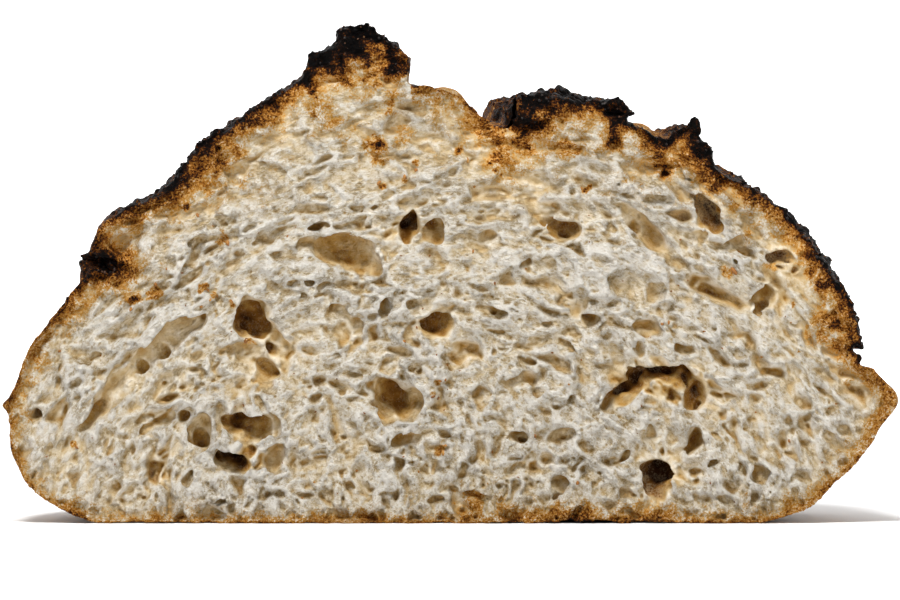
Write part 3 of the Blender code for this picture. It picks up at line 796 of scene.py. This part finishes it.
def sides(faces):
    """The two points of each side of each face."""
    return np.concatenate([faces[:, (i, (i + 1) % 4)] for i in range(4)])


def largest_body(count, faces):
    """True for the points of the largest joined body: loose crumbs and sealed bubbles go."""
    label = np.arange(count)
    pairs = sides(faces)
    while True:
        lowest = np.minimum(label[pairs[:, 0]], label[pairs[:, 1]])
        before = label.copy()
        np.minimum.at(label, label[pairs[:, 0]], lowest)
        np.minimum.at(label, label[pairs[:, 1]], lowest)
        label = label[label]
        if np.array_equal(before, label):
            break
    return label == np.argmax(np.bincount(label))


def box_blur(values, reach):
    """Mean over a cube of cells around each one."""
    width = 2 * reach + 1
    for axis in range(3):
        margins = [(reach + 1, reach) if a == axis else (0, 0) for a in range(3)]
        sums = np.cumsum(np.pad(values, margins, mode="edge"), axis=axis, dtype=np.float32)
        high = np.take(sums, np.arange(width, sums.shape[axis]), axis=axis)
        low = np.take(sums, np.arange(0, sums.shape[axis] - width), axis=axis)
        values = (high - low) / width
    return values


def grain_direction(points):
    """Coordinates that run along the crumb's stretched cells, back, and across them."""
    radius = np.hypot(points[..., 0], points[..., 2] - GRAIN_CENTRE)
    along = np.arctan2(points[..., 0], points[..., 2] - GRAIN_CENTRE) * GRAIN_RADIUS
    return np.stack((along, points[..., 1], radius), axis=-1)


def show(name, data):
    """A new object in the scene."""
    thing = bpy.data.objects.new(name, data)
    bpy.context.scene.collection.objects.link(thing)
    return thing


def make_piece(name, points, faces, values, finish):
    """A piece of the loaf from points in millimetres, with a value of each kind at each point."""
    used, faces = np.unique(faces, return_inverse=True)
    faces = faces.reshape(-1, 4)
    mesh = bpy.data.meshes.new(name)
    mesh.vertices.add(len(used))
    mesh.loops.add(faces.size)
    mesh.polygons.add(len(faces))
    mesh.vertices.foreach_set("co", ((points[used] + HUB_SHIFT) * MM).astype(np.float32).ravel())
    mesh.polygons.foreach_set("loop_start", np.arange(0, faces.size, 4, dtype=np.int32))
    mesh.loops.foreach_set("vertex_index", faces.astype(np.int32).ravel())
    mesh.update(calc_edges=True)
    mesh.validate()
    mesh.shade_smooth()
    for kind, value in values.items():
        form, field = ("FLOAT_VECTOR", "vector") if value.ndim == 2 else ("FLOAT", "value")
        layer = mesh.attributes.new(kind, form, "POINT")
        layer.data.foreach_set(field, value[used].astype(np.float32).ravel())
    mesh.materials.append(finish)
    return show(name, mesh)


def evened(values, pairs, share, rounds):
    """Values at a surface's points, drawn by a share to their neighbours' mean, in rounds."""
    count = np.maximum(1, np.bincount(pairs[:, 0], minlength=len(values)))
    for _ in range(rounds):
        means = [
            np.bincount(pairs[:, 0], column[pairs[:, 1]], len(values)) / count
            for column in values.reshape(len(values), -1).T
        ]
        values = values + (np.stack(means, axis=1).reshape(values.shape) - values) * share
    return values


def crumb_bake(crumb, points, where):
    """How baked the skin of the crumb is: dark below the crust, and fading inwards."""
    # distance below the crust: a share of it straight through the cover, a share from the outline
    column = where[0], where[2]
    off_grid = points - np.stack([place[cell] for place, cell in zip(crumb.places, where)], axis=1)
    slope = np.stack([np.gradient(crumb.skin, CELL, axis=axis)[column] for axis in (0, 1)], axis=1)
    level = crumb.skin[column] + (off_grid[:, (0, 2)] * slope).sum(axis=1)
    skin = crumb.cover[where] * 0.6 + np.maximum(0.0, level) * 0.4
    # in the ear the distance in towards the hub counts too, or it would be black throughout
    angle = crumb.angle[column]
    domed = smooth_step(62.0, 80.0, angle) * (1.0 - smooth_step(112.0, 130.0, angle))
    skin = np.maximum(skin, 0.6 * domed * crumb.inward[column])
    uneven = 1.0 + 0.4 * Grain(3.2, 51).at(points) + 0.3 * Grain(1.2, 52).at(points)
    dark, thick = crumb.dark[column], crumb.thick[column]
    below = np.maximum(0.0, skin) * np.clip(uneven, 0.3, 2.0) - thick
    below = np.where(below < 0.0, below / thick, below / (1.0 + 2.2 * dark))
    bake = dark * np.interp(below, *zip(*FADE_STEPS)) + scorching(points)
    # patches of the crumb below the top crust are toasted
    patchy = 0.5 + 0.7 * Grain(11.0, 56).at(points) + 0.5 * Grain(3.5, 57).at(points)
    toasted = smooth_step(TOAST_REACH, 4.0, skin) * smooth_step(25.0, 60.0, angle)
    toasted = toasted * (1.0 - smooth_step(140.0, 165.0, angle))
    return np.clip(bake + TOAST * toasted * np.clip(patchy, 0.0, 1.6), 0.0, 1.0)


def make_crumb(angles, finish):
    """The cut face with its holes, in strips from left to right."""
    crumb = Crumb(angles)
    crumb.open_known_holes()
    crumb.sow_holes()
    field = crumb.field()
    clear_pinches(field)
    points, faces, cells = grid_skin(field, crumb.places)
    kept = largest_body(len(points), faces)
    where = tuple(cells.T)
    far_back = points[:, 1] > WALL_END
    hidden = far_back & ((crumb.cover[where] < 0.8) | (points[:, 2] < 0.8))
    faces = faces[kept[faces[:, 0]] & ~hidden[faces].all(axis=1)]
    pairs = sides(faces)

    # how enclosed each point is: the finish darkens enclosed crevices with it, as painted shade
    solid = np.clip(0.5 - field / CELL, 0.0, 1.0)
    near, far = (
        evened(box_blur(solid, max(1, round(reach / CELL)))[where], pairs, 0.8, 3)
        for reach in SHELTER_REACHES
    )
    # depth behind the cut's face, which the finish turns into painted shade inside the holes
    depth = np.maximum(0.0, points[:, 1] - crumb.bevel[where[0], where[2]])
    inner = (depth - 0.8) * (crumb.cover[where] > 3.0)
    points = evened(points, pairs, 0.6 * smooth_step(0.0, 1.6, inner)[:, None], 4)
    # painted shade: the listed holes count as deeper, so their insides are painted darker; their
    # shape stays
    for x, z, reach, deeper in PAINTED_SHADE_HOLES:
        away = np.hypot(points[:, 0] - x, points[:, 2] - z) / reach
        depth = depth + deeper * np.exp(-away**4) * smooth_step(1.0, 4.0, depth)
    bake = crumb_bake(crumb, points, where)
    values = {
        "bake": bake,
        "shade_depth": depth,
        "shelter_shade": np.clip(1.3 * (near - 0.3) + 1.1 * (far - 0.3), 0.0, 1.0),
        "grain": grain_direction(points),
    }
    used = np.unique(faces)
    bare = points[used[bake[used] < 0.05]]
    charred = points[used[bake[used] > 0.8]]
    order = np.argsort(points[faces[:, 0], 0], kind="stable")
    parts = np.array_split(order, math.ceil(len(faces) / STRIP_FACES))
    strips = [
        make_piece(f"crumb_{number + 1}", points, faces[part], values, finish)
        for number, part in enumerate(parts)
    ]
    return strips, bare, charred


def feed(tree, socket, value):
    """Sets a node's input to a value, or links it where the value is another node's output."""
    if isinstance(value, bpy.types.NodeSocket):
        tree.links.new(value, socket)
    else:
        socket.default_value = value


def add_node(tree, kind, inputs=None, **settings):
    """A new node with its settings and inputs."""
    node = tree.nodes.new(kind)
    for key, value in settings.items():
        setattr(node, key, value)
    for key, value in (inputs or {}).items():
        feed(tree, node.inputs[key], value)
    return node


def bits_tree():
    """Nodes that set a small uneven bit on each point, sized by the points' own "size"."""
    tree = bpy.data.node_groups.new("scattered_bits", "GeometryNodeTree")
    for name, kind in (
        ("Points", "Geometry"), ("Size", "Float"), ("Flatness", "Float"),
        ("Unevenness", "Float"), ("Seed", "Int"), ("Finish", "Material"),
    ):
        tree.interface.new_socket(name, in_out="INPUT", socket_type="NodeSocket" + kind)
    tree.interface.new_socket("Bits", in_out="OUTPUT", socket_type="NodeSocketGeometry")

    def node(kind, inputs, output=0, **settings):
        """An output of a new node."""
        return add_node(tree, kind, inputs, **settings).outputs[output]

    given = tree.nodes.new("NodeGroupInput").outputs
    ball = node("GeometryNodeMeshIcoSphere", {"Radius": 1.0, "Subdivisions": 1}, "Mesh")
    flattened = node("ShaderNodeCombineXYZ", {"X": 1.0, "Y": 1.0, "Z": given["Flatness"]})
    bit = node("GeometryNodeTransform", {"Geometry": ball, "Scale": flattened})
    turn = node("FunctionNodeRandomValue", {"Max": (6.28, 6.28, 6.28), "Seed": given["Seed"]},
                data_type="FLOAT_VECTOR")
    least = node("ShaderNodeMath", {0: 1.0, 1: given["Unevenness"]}, operation="SUBTRACT")
    lowest = node("ShaderNodeCombineXYZ", {"X": least, "Y": least, "Z": least})
    uneven = node("FunctionNodeRandomValue", {0: lowest, 1: (1.0, 1.0, 1.0), "Seed": given["Seed"]},
                  data_type="FLOAT_VECTOR")
    own_size = node("GeometryNodeInputNamedAttribute", {"Name": "size"}, data_type="FLOAT")
    size = node("ShaderNodeMath", {0: own_size, 1: given["Size"]}, operation="MULTIPLY")
    scale = node("ShaderNodeVectorMath", {0: uneven, "Scale": size}, operation="SCALE")
    placed = node("GeometryNodeInstanceOnPoints", {
        "Points": given["Points"], "Instance": bit, "Rotation": turn, "Scale": scale,
    })
    real = node("GeometryNodeRealizeInstances", {"Geometry": placed})
    coloured = node("GeometryNodeSetMaterial", {"Geometry": real, "Material": given["Finish"]})
    tree.links.new(coloured, tree.nodes.new("NodeGroupOutput").inputs["Bits"])
    return tree


def scatter_bits(name, tree, spots, sizes, settings):
    """A piece made of small bits at the given spots, by the nodes of bits_tree."""
    mesh = bpy.data.meshes.new(name + "_spots")
    mesh.from_pydata(((spots + HUB_SHIFT) * MM).tolist(), [], [])
    layer = mesh.attributes.new("size", "FLOAT", "POINT")
    layer.data.foreach_set("value", sizes.astype(np.float32))
    sower = show(name + "_spots", mesh)
    modifier = sower.modifiers.new("bits", "NODES")
    modifier.node_group = tree
    for item in tree.interface.items_tree:
        if item.in_out == "INPUT" and item.name in settings:
            modifier[item.identifier] = settings[item.name]
    graph = bpy.context.evaluated_depsgraph_get()
    bits = bpy.data.meshes.new_from_object(sower.evaluated_get(graph))
    bpy.data.objects.remove(sower)
    bits.name = name
    bits.shade_smooth()
    return show(name, bits)


def make_flecks(tree, skin_points, finish):
    """Bran flecks on the torn crumb, at their known places and some more at random."""
    front = skin_points[skin_points[:, 1] < 3.5]
    random = np.random.default_rng(7)
    known = np.array(BRAN_FLECKS)
    spots = []
    for x, z, _ in known:
        away = (front[:, 0] - x) ** 2 + (front[:, 2] - z) ** 2
        near = np.flatnonzero(away < 0.6)
        spots.append(front[near[np.argmin(front[near, 1])] if len(near) else np.argmin(away)])
    sown = front[random.integers(0, len(front), SOWN_FLECKS)]
    sizes = np.concatenate((known[:, 2], random.uniform(0.35, 0.9, SOWN_FLECKS)))
    settings = {
        "Size": FLECK_SIZE * MM, "Flatness": 0.4, "Unevenness": 0.5, "Seed": 3, "Finish": finish,
    }
    return scatter_bits("bran_flecks", tree, np.concatenate((spots, sown)), sizes, settings)


def make_grit(tree, places, finish):
    """Scorched grit on the blackest crust."""
    random = np.random.default_rng(9)
    chosen = places[random.integers(0, len(places), GRIT_COUNT)]
    sizes = random.uniform(0.3, 1.0, GRIT_COUNT) ** 2 + 0.25
    settings = {
        "Size": GRIT_SIZE * MM, "Flatness": 0.7, "Unevenness": 0.45, "Seed": 4, "Finish": finish,
    }
    return scatter_bits("scorched_grit", tree, chosen, sizes, settings)


def crust_rings(angles):
    """(points in rings round the baked outside, their angles, how open a slash is there)."""
    fine = np.linspace(2.0, 89.4, 4000)
    width, _, behind = section_scale(fine)
    turns = evenly_spaced(np.hypot(np.diff(105.0 * width), np.diff(behind)), fine)
    points, opened = crust_points(angles[:, None], turns[None, :])
    low = np.maximum(points[0, :, 2], points[-1, :, 2])
    points[0, :, 2] = points[-1, :, 2] = low
    base_count = round(170.0 / (3.0 * CRUST_STEP))
    share = np.arange(1, base_count + 1)[:, None, None] / (base_count + 1)
    base = points[-1] * (1.0 - share) + points[0] * share
    base_angles = np.linspace(FOOT_LEFT, FOOT_RIGHT + 360.0, base_count + 2)[1:-1]
    around = np.concatenate((angles, base_angles))
    around = np.where(around > 270.0, around - 360.0, around)
    opened = np.concatenate((opened, np.zeros(base.shape[:2])))
    return np.concatenate((points, base)), around, opened


def outward(ring):
    """Directions out of the loaf at the points of its rings."""
    across = np.roll(ring, -1, axis=0) - np.roll(ring, 1, axis=0)
    out = np.cross(across, np.gradient(ring, axis=1))
    out /= np.maximum(np.linalg.norm(out, axis=-1, keepdims=True), 1e-6)
    middle = (0.0, 40.0, 50.0)
    return out if (out * (ring - middle)).sum(axis=-1).mean() >= 0.0 else -out


def make_crust(angles, finish):
    """The baked outside behind the cut, in four pieces, and the points of its blackest crust."""
    ring, around, opened = crust_rings(angles)
    out = outward(ring)
    # the bake follows the cut's outline in front, and wanders round it further back
    wander = around[:, None] + 8.0 * Grain(17.0, 63).at(ring)
    further = [darkness(wander + step) for step in NEARBY]
    behind_cut = smooth_step(5.0, 30.0, ring[..., 1])
    dark = darkness(around)[:, None] * (1.0 - behind_cut)
    dark = dark + np.mean(further, axis=0) * behind_cut
    dark = dark * (1.0 - 0.42 * opened)
    crags = crag_relief([grain.at(ring) for grain in CRAG_GRAINS], dark)
    height = crags - OVERLAP * (1.0 - smooth_step(6.0, 8.6, ring[..., 1]))
    height *= smooth_step(-0.5, 6.0, ring[..., 2]) * 0.9 + 0.1
    ring = ring + out * height[..., None]
    ring[..., 2] = np.maximum(0.0, ring[..., 2])
    ring[:, -1] = ring[:, -1].mean(axis=0)

    paler = 0.14 * smooth_step(4.0, 26.0, ring[..., 1]) * smooth_step(0.6, 0.9, dark)
    patches = Grain(9.0, 61).at(ring) * 0.14 + Grain(3.0, 62).at(ring) * 0.10
    bake = np.clip(dark - paler + patches + scorching(ring), 0.0, 1.0)
    flat = ring.reshape(-1, 3)
    values = {
        "bake": bake.ravel(),
        "shade_depth": np.zeros(len(flat)),
        # painted shade: more in the crevices between the crags, less on their crests
        "shelter_shade": np.clip(0.5 - 0.45 * crags, 0.0, 1.0).ravel(),
        "grain": grain_direction(flat),
    }
    number = np.arange(len(flat)).reshape(ring.shape[:2])
    next_one = np.roll(number, -1, axis=0)
    quads = np.stack((number[:, :-1], next_one[:, :-1], next_one[:, 1:], number[:, 1:]), axis=-1)
    arc = len(angles) - 1
    ends = (0, arc // 3, 2 * arc // 3, arc, len(ring))
    made = []
    for name, first, last in zip(("right", "top", "left", "under"), ends, ends[1:]):
        piece = make_piece("crust_" + name, flat, quads[first:last].reshape(-1, 4), values, finish)
        close_back_tip(piece.data)
        made.append(piece)
    return made, ring[(bake > 0.78) & (ring[..., 1] > 8.0)]


def close_back_tip(mesh):
    """Joins the points that meet at the very back into one."""
    shell = bmesh.new()
    shell.from_mesh(mesh)
    back = max(point.co.y for point in shell.verts)
    tip = [point for point in shell.verts if point.co.y > back - 1.0 * MM]
    bmesh.ops.remove_doubles(shell, verts=tip, dist=0.001 * MM)
    shell.to_mesh(mesh)
    shell.free()


def paint(red, green, blue):
    """Shader colour from the 0 to 255 values of a picture."""
    def linear(value):
        """Light for one of the picture's values."""
        value /= 255.0
        return value / 12.92 if value <= 0.04045 else ((value + 0.055) / 1.055) ** 2.4
    return linear(red), linear(green), linear(blue), 1.0


class Recipe:
    """A material under construction."""

    def __init__(self, name):
        self.material = bpy.data.materials.new(name)
        self.material.use_nodes = True
        self.tree = self.material.node_tree

    def add(self, kind, inputs=None, output=0, **settings):
        """An output of a new node."""
        return add_node(self.tree, kind, inputs, **settings).outputs[output]

    def finished(self, inputs):
        """The material, with its shader's inputs set."""
        shader = self.tree.nodes["Principled BSDF"]
        for name, value in inputs.items():
            feed(self.tree, shader.inputs[name], value)
        return self.material

    def kept_on_mesh(self, name, output="Fac"):
        """A value that the mesh keeps at its points."""
        return self.add("ShaderNodeAttribute", output=output, attribute_name=name)

    def place(self):
        """Place on the object, in metres."""
        return self.add("ShaderNodeTexCoord", output="Object")

    def stretched(self, vector, scale):
        """A place with each axis scaled."""
        return self.add("ShaderNodeMapping", {"Vector": vector, "Scale": scale})

    def place_in_mm(self):
        """Place on the object, in millimetres."""
        return self.stretched(self.place(), (1 / MM, 1 / MM, 1 / MM))

    def speckle(self, vector, scale, detail=4.0, roughness=0.6):
        """Soft random spots, mostly near 0.5."""
        inputs = {"Vector": vector, "Scale": scale, "Detail": detail, "Roughness": roughness}
        return self.add("ShaderNodeTexNoise", inputs, "Fac")

    def crests(self, texture, reach):
        """0 along thin crests and up to 1 in the dips between them."""
        from_middle = self.sum_of(texture, 0.5, "SUBTRACT")
        return self.spread(self.sum_of(from_middle, 0.0, "ABSOLUTE"), 0.0, reach, 0.0, 1.0)

    def pits(self, vector, scale, size):
        """1 in the middle of small round pits and 0 outside them."""
        spots = self.add("ShaderNodeTexVoronoi", {"Vector": vector, "Scale": scale}, "Distance")
        return self.spread(spots, 0.4 * size, size, 1.0, 0.0)

    def sum_of(self, first, second, operation="ADD", third=0.0):
        """The result of a sum of two or three values."""
        return self.add("ShaderNodeMath", {0: first, 1: second, 2: third}, operation=operation)

    def ramp(self, value, stops):
        """Colour for a value, from stops of a position and red, green and blue."""
        node = add_node(self.tree, "ShaderNodeValToRGB", {"Fac": value})
        elements = node.color_ramp.elements
        while len(elements) < len(stops):
            elements.new(1.0)
        for element, (position, *colour) in zip(elements, stops):
            element.position = position
            element.color = paint(*colour)
        return node.outputs["Color"]

    def blend(self, share, first, second):
        """A colour between two, by a share."""
        return self.add("ShaderNodeMix", {0: share, 6: first, 7: second}, 2, data_type="RGBA")

    def spread(self, value, low, high, to_low, to_high):
        """The value, with one range stretched onto another and cut off at its ends."""
        inputs = {"Value": value}
        inputs |= {"From Min": low, "From Max": high, "To Min": to_low, "To Max": to_high}
        return self.add("ShaderNodeMapRange", inputs, "Result")


# Colours of the crust as it is baked, of the crumb from its own cream to the painted shade of its
# deep hollows, of bran and of grit
BAKED_COLOURS = (
    (0.00, 214, 198, 168), (0.14, 202, 172, 122), (0.28, 204, 154, 78), (0.42, 182, 116, 38),
    (0.56, 118, 64, 18), (0.68, 62, 30, 9), (0.80, 20, 10, 5), (1.00, 4, 3, 3),
)
CRUMB_SHADE_COLOURS = (
    (0.00, 244, 238, 227), (0.12, 234, 225, 209), (0.24, 217, 200, 170), (0.38, 193, 166, 120),
    (0.54, 168, 129, 67), (0.72, 130, 86, 30), (1.00, 58, 30, 7),
)
BRAN_COLOURS = ((0.3, 104, 64, 24), (0.5, 154, 100, 40), (0.7, 184, 138, 72))
GRIT_COLOURS = ((0.35, 8, 6, 6), (0.52, 30, 18, 12), (0.64, 96, 56, 24), (0.75, 168, 122, 70))


def bits_finish(name, scale, detail, colours, roughness):
    """Small bits, each of another colour of the given ones."""
    recipe = Recipe(name)
    tone = recipe.ramp(recipe.speckle(recipe.place_in_mm(), scale, detail), colours)
    return recipe.finished({"Base Color": tone, "Roughness": roughness})


def bread_finish(name):
    """Cream crumb darkened by painted shade in its hollows, crevices and fine dips, baked to tan,
    orange brown and black at the crust.
    """
    recipe = Recipe(name)
    spot = recipe.place_in_mm()
    fibres = recipe.stretched(recipe.kept_on_mesh("grain", "Vector"), (0.55, 1.0, 1.0))
    mottle = recipe.speckle(spot, 0.3, 4.0)
    pores = recipe.speckle(spot, 1.7, 4.0, 0.75)
    folds = recipe.crests(recipe.speckle(fibres, 0.5, 7.0, 0.66), 0.22)
    flakes = recipe.crests(recipe.speckle(fibres, 1.3, 5.0, 0.62), 0.26)
    pits = recipe.pits(fibres, 0.75, 0.36)
    pinholes = recipe.pits(spot, 1.5, 0.30)
    cracks = recipe.crests(recipe.speckle(fibres, 0.8, 6.0, 0.7), 0.05)
    cracks = recipe.spread(cracks, 0.0, 1.0, 1.0, 0.0)
    cracks = recipe.sum_of(cracks, recipe.spread(mottle, 0.45, 0.6, 0.0, 1.0), "MULTIPLY")
    # each texture, how much painted shade it lays in its dips, pits and cracks, and how far it
    # stands out of it
    textures = (
        (folds, 0.17, -0.6), (flakes, 0.21, -0.6), (pits, 0.13, -0.7), (pinholes, 0.10, -0.5),
        (cracks, 0.20, -0.5),
    )

    # painted shade: the crumb darkens and warms the deeper it lies behind the cut, for the shade
    # and warm glow inside its holes
    depth = recipe.kept_on_mesh("shade_depth")
    deep = recipe.spread(depth, 0.8, 16.0, 0.0, 1.05)
    # painted shade in crevices, from how enclosed each point is
    crevice_shade = recipe.spread(recipe.kept_on_mesh("shelter_shade"), 0.1, 0.9, 0.0, 0.32)
    shade_depth = recipe.sum_of(deep, crevice_shade)
    torn = recipe.spread(depth, 2.0, 4.5, 1.0, 0.3)
    # painted shade in the fine dips, on the torn face more than inside the holes
    for texture, dip_shade, _ in textures:
        dip_shaded = recipe.sum_of(texture, torn, "MULTIPLY")
        shade_depth = recipe.sum_of(dip_shaded, dip_shade, "MULTIPLY_ADD", shade_depth)
    crumb = recipe.ramp(recipe.sum_of(shade_depth, 0.10, "SUBTRACT"), CRUMB_SHADE_COLOURS)

    bake = recipe.kept_on_mesh("bake")
    grit = recipe.spread(pores, 0.32, 0.68, -0.38, 0.38)
    grit = recipe.sum_of(grit, recipe.spread(bake, 0.0, 0.5, 0.15, 1.0), "MULTIPLY")
    uneven = recipe.spread(mottle, 0.3, 0.7, -0.2, 0.2)
    uneven = recipe.sum_of(uneven, recipe.spread(bake, 0.0, 0.3, 0.2, 1.0), "MULTIPLY")
    baked = recipe.sum_of(recipe.sum_of(bake, uneven), grit)
    crust = recipe.ramp(baked, BAKED_COLOURS)
    share = recipe.spread(baked, 0.0, 0.24, 0.0, 1.0)

    height = recipe.sum_of(pores, 0.35, "MULTIPLY")
    for texture, _, rise in textures:
        height = recipe.sum_of(texture, rise, "MULTIPLY_ADD", height)
    rough = recipe.spread(bake, 0.1, 0.8, 0.9 * MM, 1.2 * MM)
    bump = {"Height": height, "Distance": recipe.sum_of(rough, torn, "MULTIPLY"), "Strength": 1.0}
    return recipe.finished({
        "Base Color": recipe.blend(share, crumb, crust),
        "Roughness": recipe.spread(baked, 0.3, 0.95, 0.85, 0.38),
        "Specular IOR Level": 0.08,
        "Normal": recipe.add("ShaderNodeBump", bump),
    })


def floor_finish():
    """Matt white paper, which glows far behind the loaf so that it shows as plain white there."""
    recipe = Recipe("pale_floor")
    behind = recipe.add("ShaderNodeSeparateXYZ", {"Vector": recipe.place()}, "Y")
    return recipe.finished({
        "Base Color": paint(250, 250, 250),
        "Roughness": 0.9,
        "Emission Color": paint(255, 255, 255),
        "Emission Strength": recipe.spread(behind, 0.3, 1.5, 0.0, 1.0),
    })


def aim(name, data, place, way):
    """A camera or a light in its place, turned to look along a way."""
    thing = show(name, data)
    thing.location = place
    thing.rotation_euler = way.to_track_quat("-Z", "Y").to_euler()
    return thing


def make_floor():
    """A pale floor that curves up behind the loaf."""
    profile = [(FLOOR_FRONT, 0.0), (FLOOR_END, 0.0)]
    for t in np.linspace(0.1, math.pi / 2, 14):
        profile.append((FLOOR_END + math.sin(t), 1.0 - math.cos(t)))
    profile.append((FLOOR_END + 1.0, FLOOR_TOP))
    points = [(x, y, z) for y, z in profile for x in (-FLOOR_HALF_WIDTH, FLOOR_HALF_WIDTH)]
    faces = [(2 * i, 2 * i + 1, 2 * i + 3, 2 * i + 2) for i in range(len(profile) - 1)]
    mesh = bpy.data.meshes.new("pale_floor")
    mesh.from_pydata(points, [], faces)
    mesh.shade_smooth()
    mesh.materials.append(floor_finish())
    show("pale_floor", mesh)


def make_studio():
    """Camera square on to the cut, soft light from above the front, and the floor."""
    scene = bpy.context.scene
    scene.view_settings.view_transform = "Standard"
    lens = bpy.data.cameras.new("camera")
    lens.lens = 185.0
    lens.sensor_width = 36.0
    target = Vector((HUB_SHIFT[0], HUB_SHIFT[1], LOOK_HEIGHT)) * MM
    rise = math.radians(CAMERA_RISE)
    away = Vector((0.0, -math.cos(rise), math.sin(rise))) * CAMERA_DISTANCE
    scene.camera = aim("camera", lens, target + away, -away)
    for name, place, size, power in LIGHTS:
        lamp = bpy.data.lights.new(name, "AREA")
        lamp.size = size
        lamp.energy = power
        aim(name, lamp, place, target - Vector(place))
    scene.world = bpy.data.worlds.new("studio")
    scene.world.use_nodes = True
    air = scene.world.node_tree.nodes["Background"].inputs
    air["Color"].default_value = (1.0, 1.0, 1.0, 1.0)
    air["Strength"].default_value = ROOM_LIGHT
    make_floor()


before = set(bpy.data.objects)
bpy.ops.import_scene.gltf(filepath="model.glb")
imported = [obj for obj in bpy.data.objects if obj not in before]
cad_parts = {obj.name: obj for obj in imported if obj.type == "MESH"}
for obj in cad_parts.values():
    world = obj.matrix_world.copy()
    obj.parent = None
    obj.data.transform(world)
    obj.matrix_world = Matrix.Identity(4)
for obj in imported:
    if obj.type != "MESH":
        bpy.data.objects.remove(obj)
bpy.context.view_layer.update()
make_studio()
cut_angles = even_angles()
strips, bare, charred = make_crumb(cut_angles, bread_finish("crumb"))
shells, charred_crust = make_crust(cut_angles, bread_finish("crust"))
bits = bits_tree()
flecks = make_flecks(bits, bare, bits_finish("bran", 0.2, 2.0, BRAN_COLOURS, 0.7))
charred = np.concatenate((charred[::2], charred_crust))
grit = make_grit(bits, charred, bits_finish("scorched_grit", 0.45, 3.0, GRIT_COLOURS, 0.45))
for piece in strips + shells + [flecks, grit]:
    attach(piece, "root")
    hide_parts("loaf")
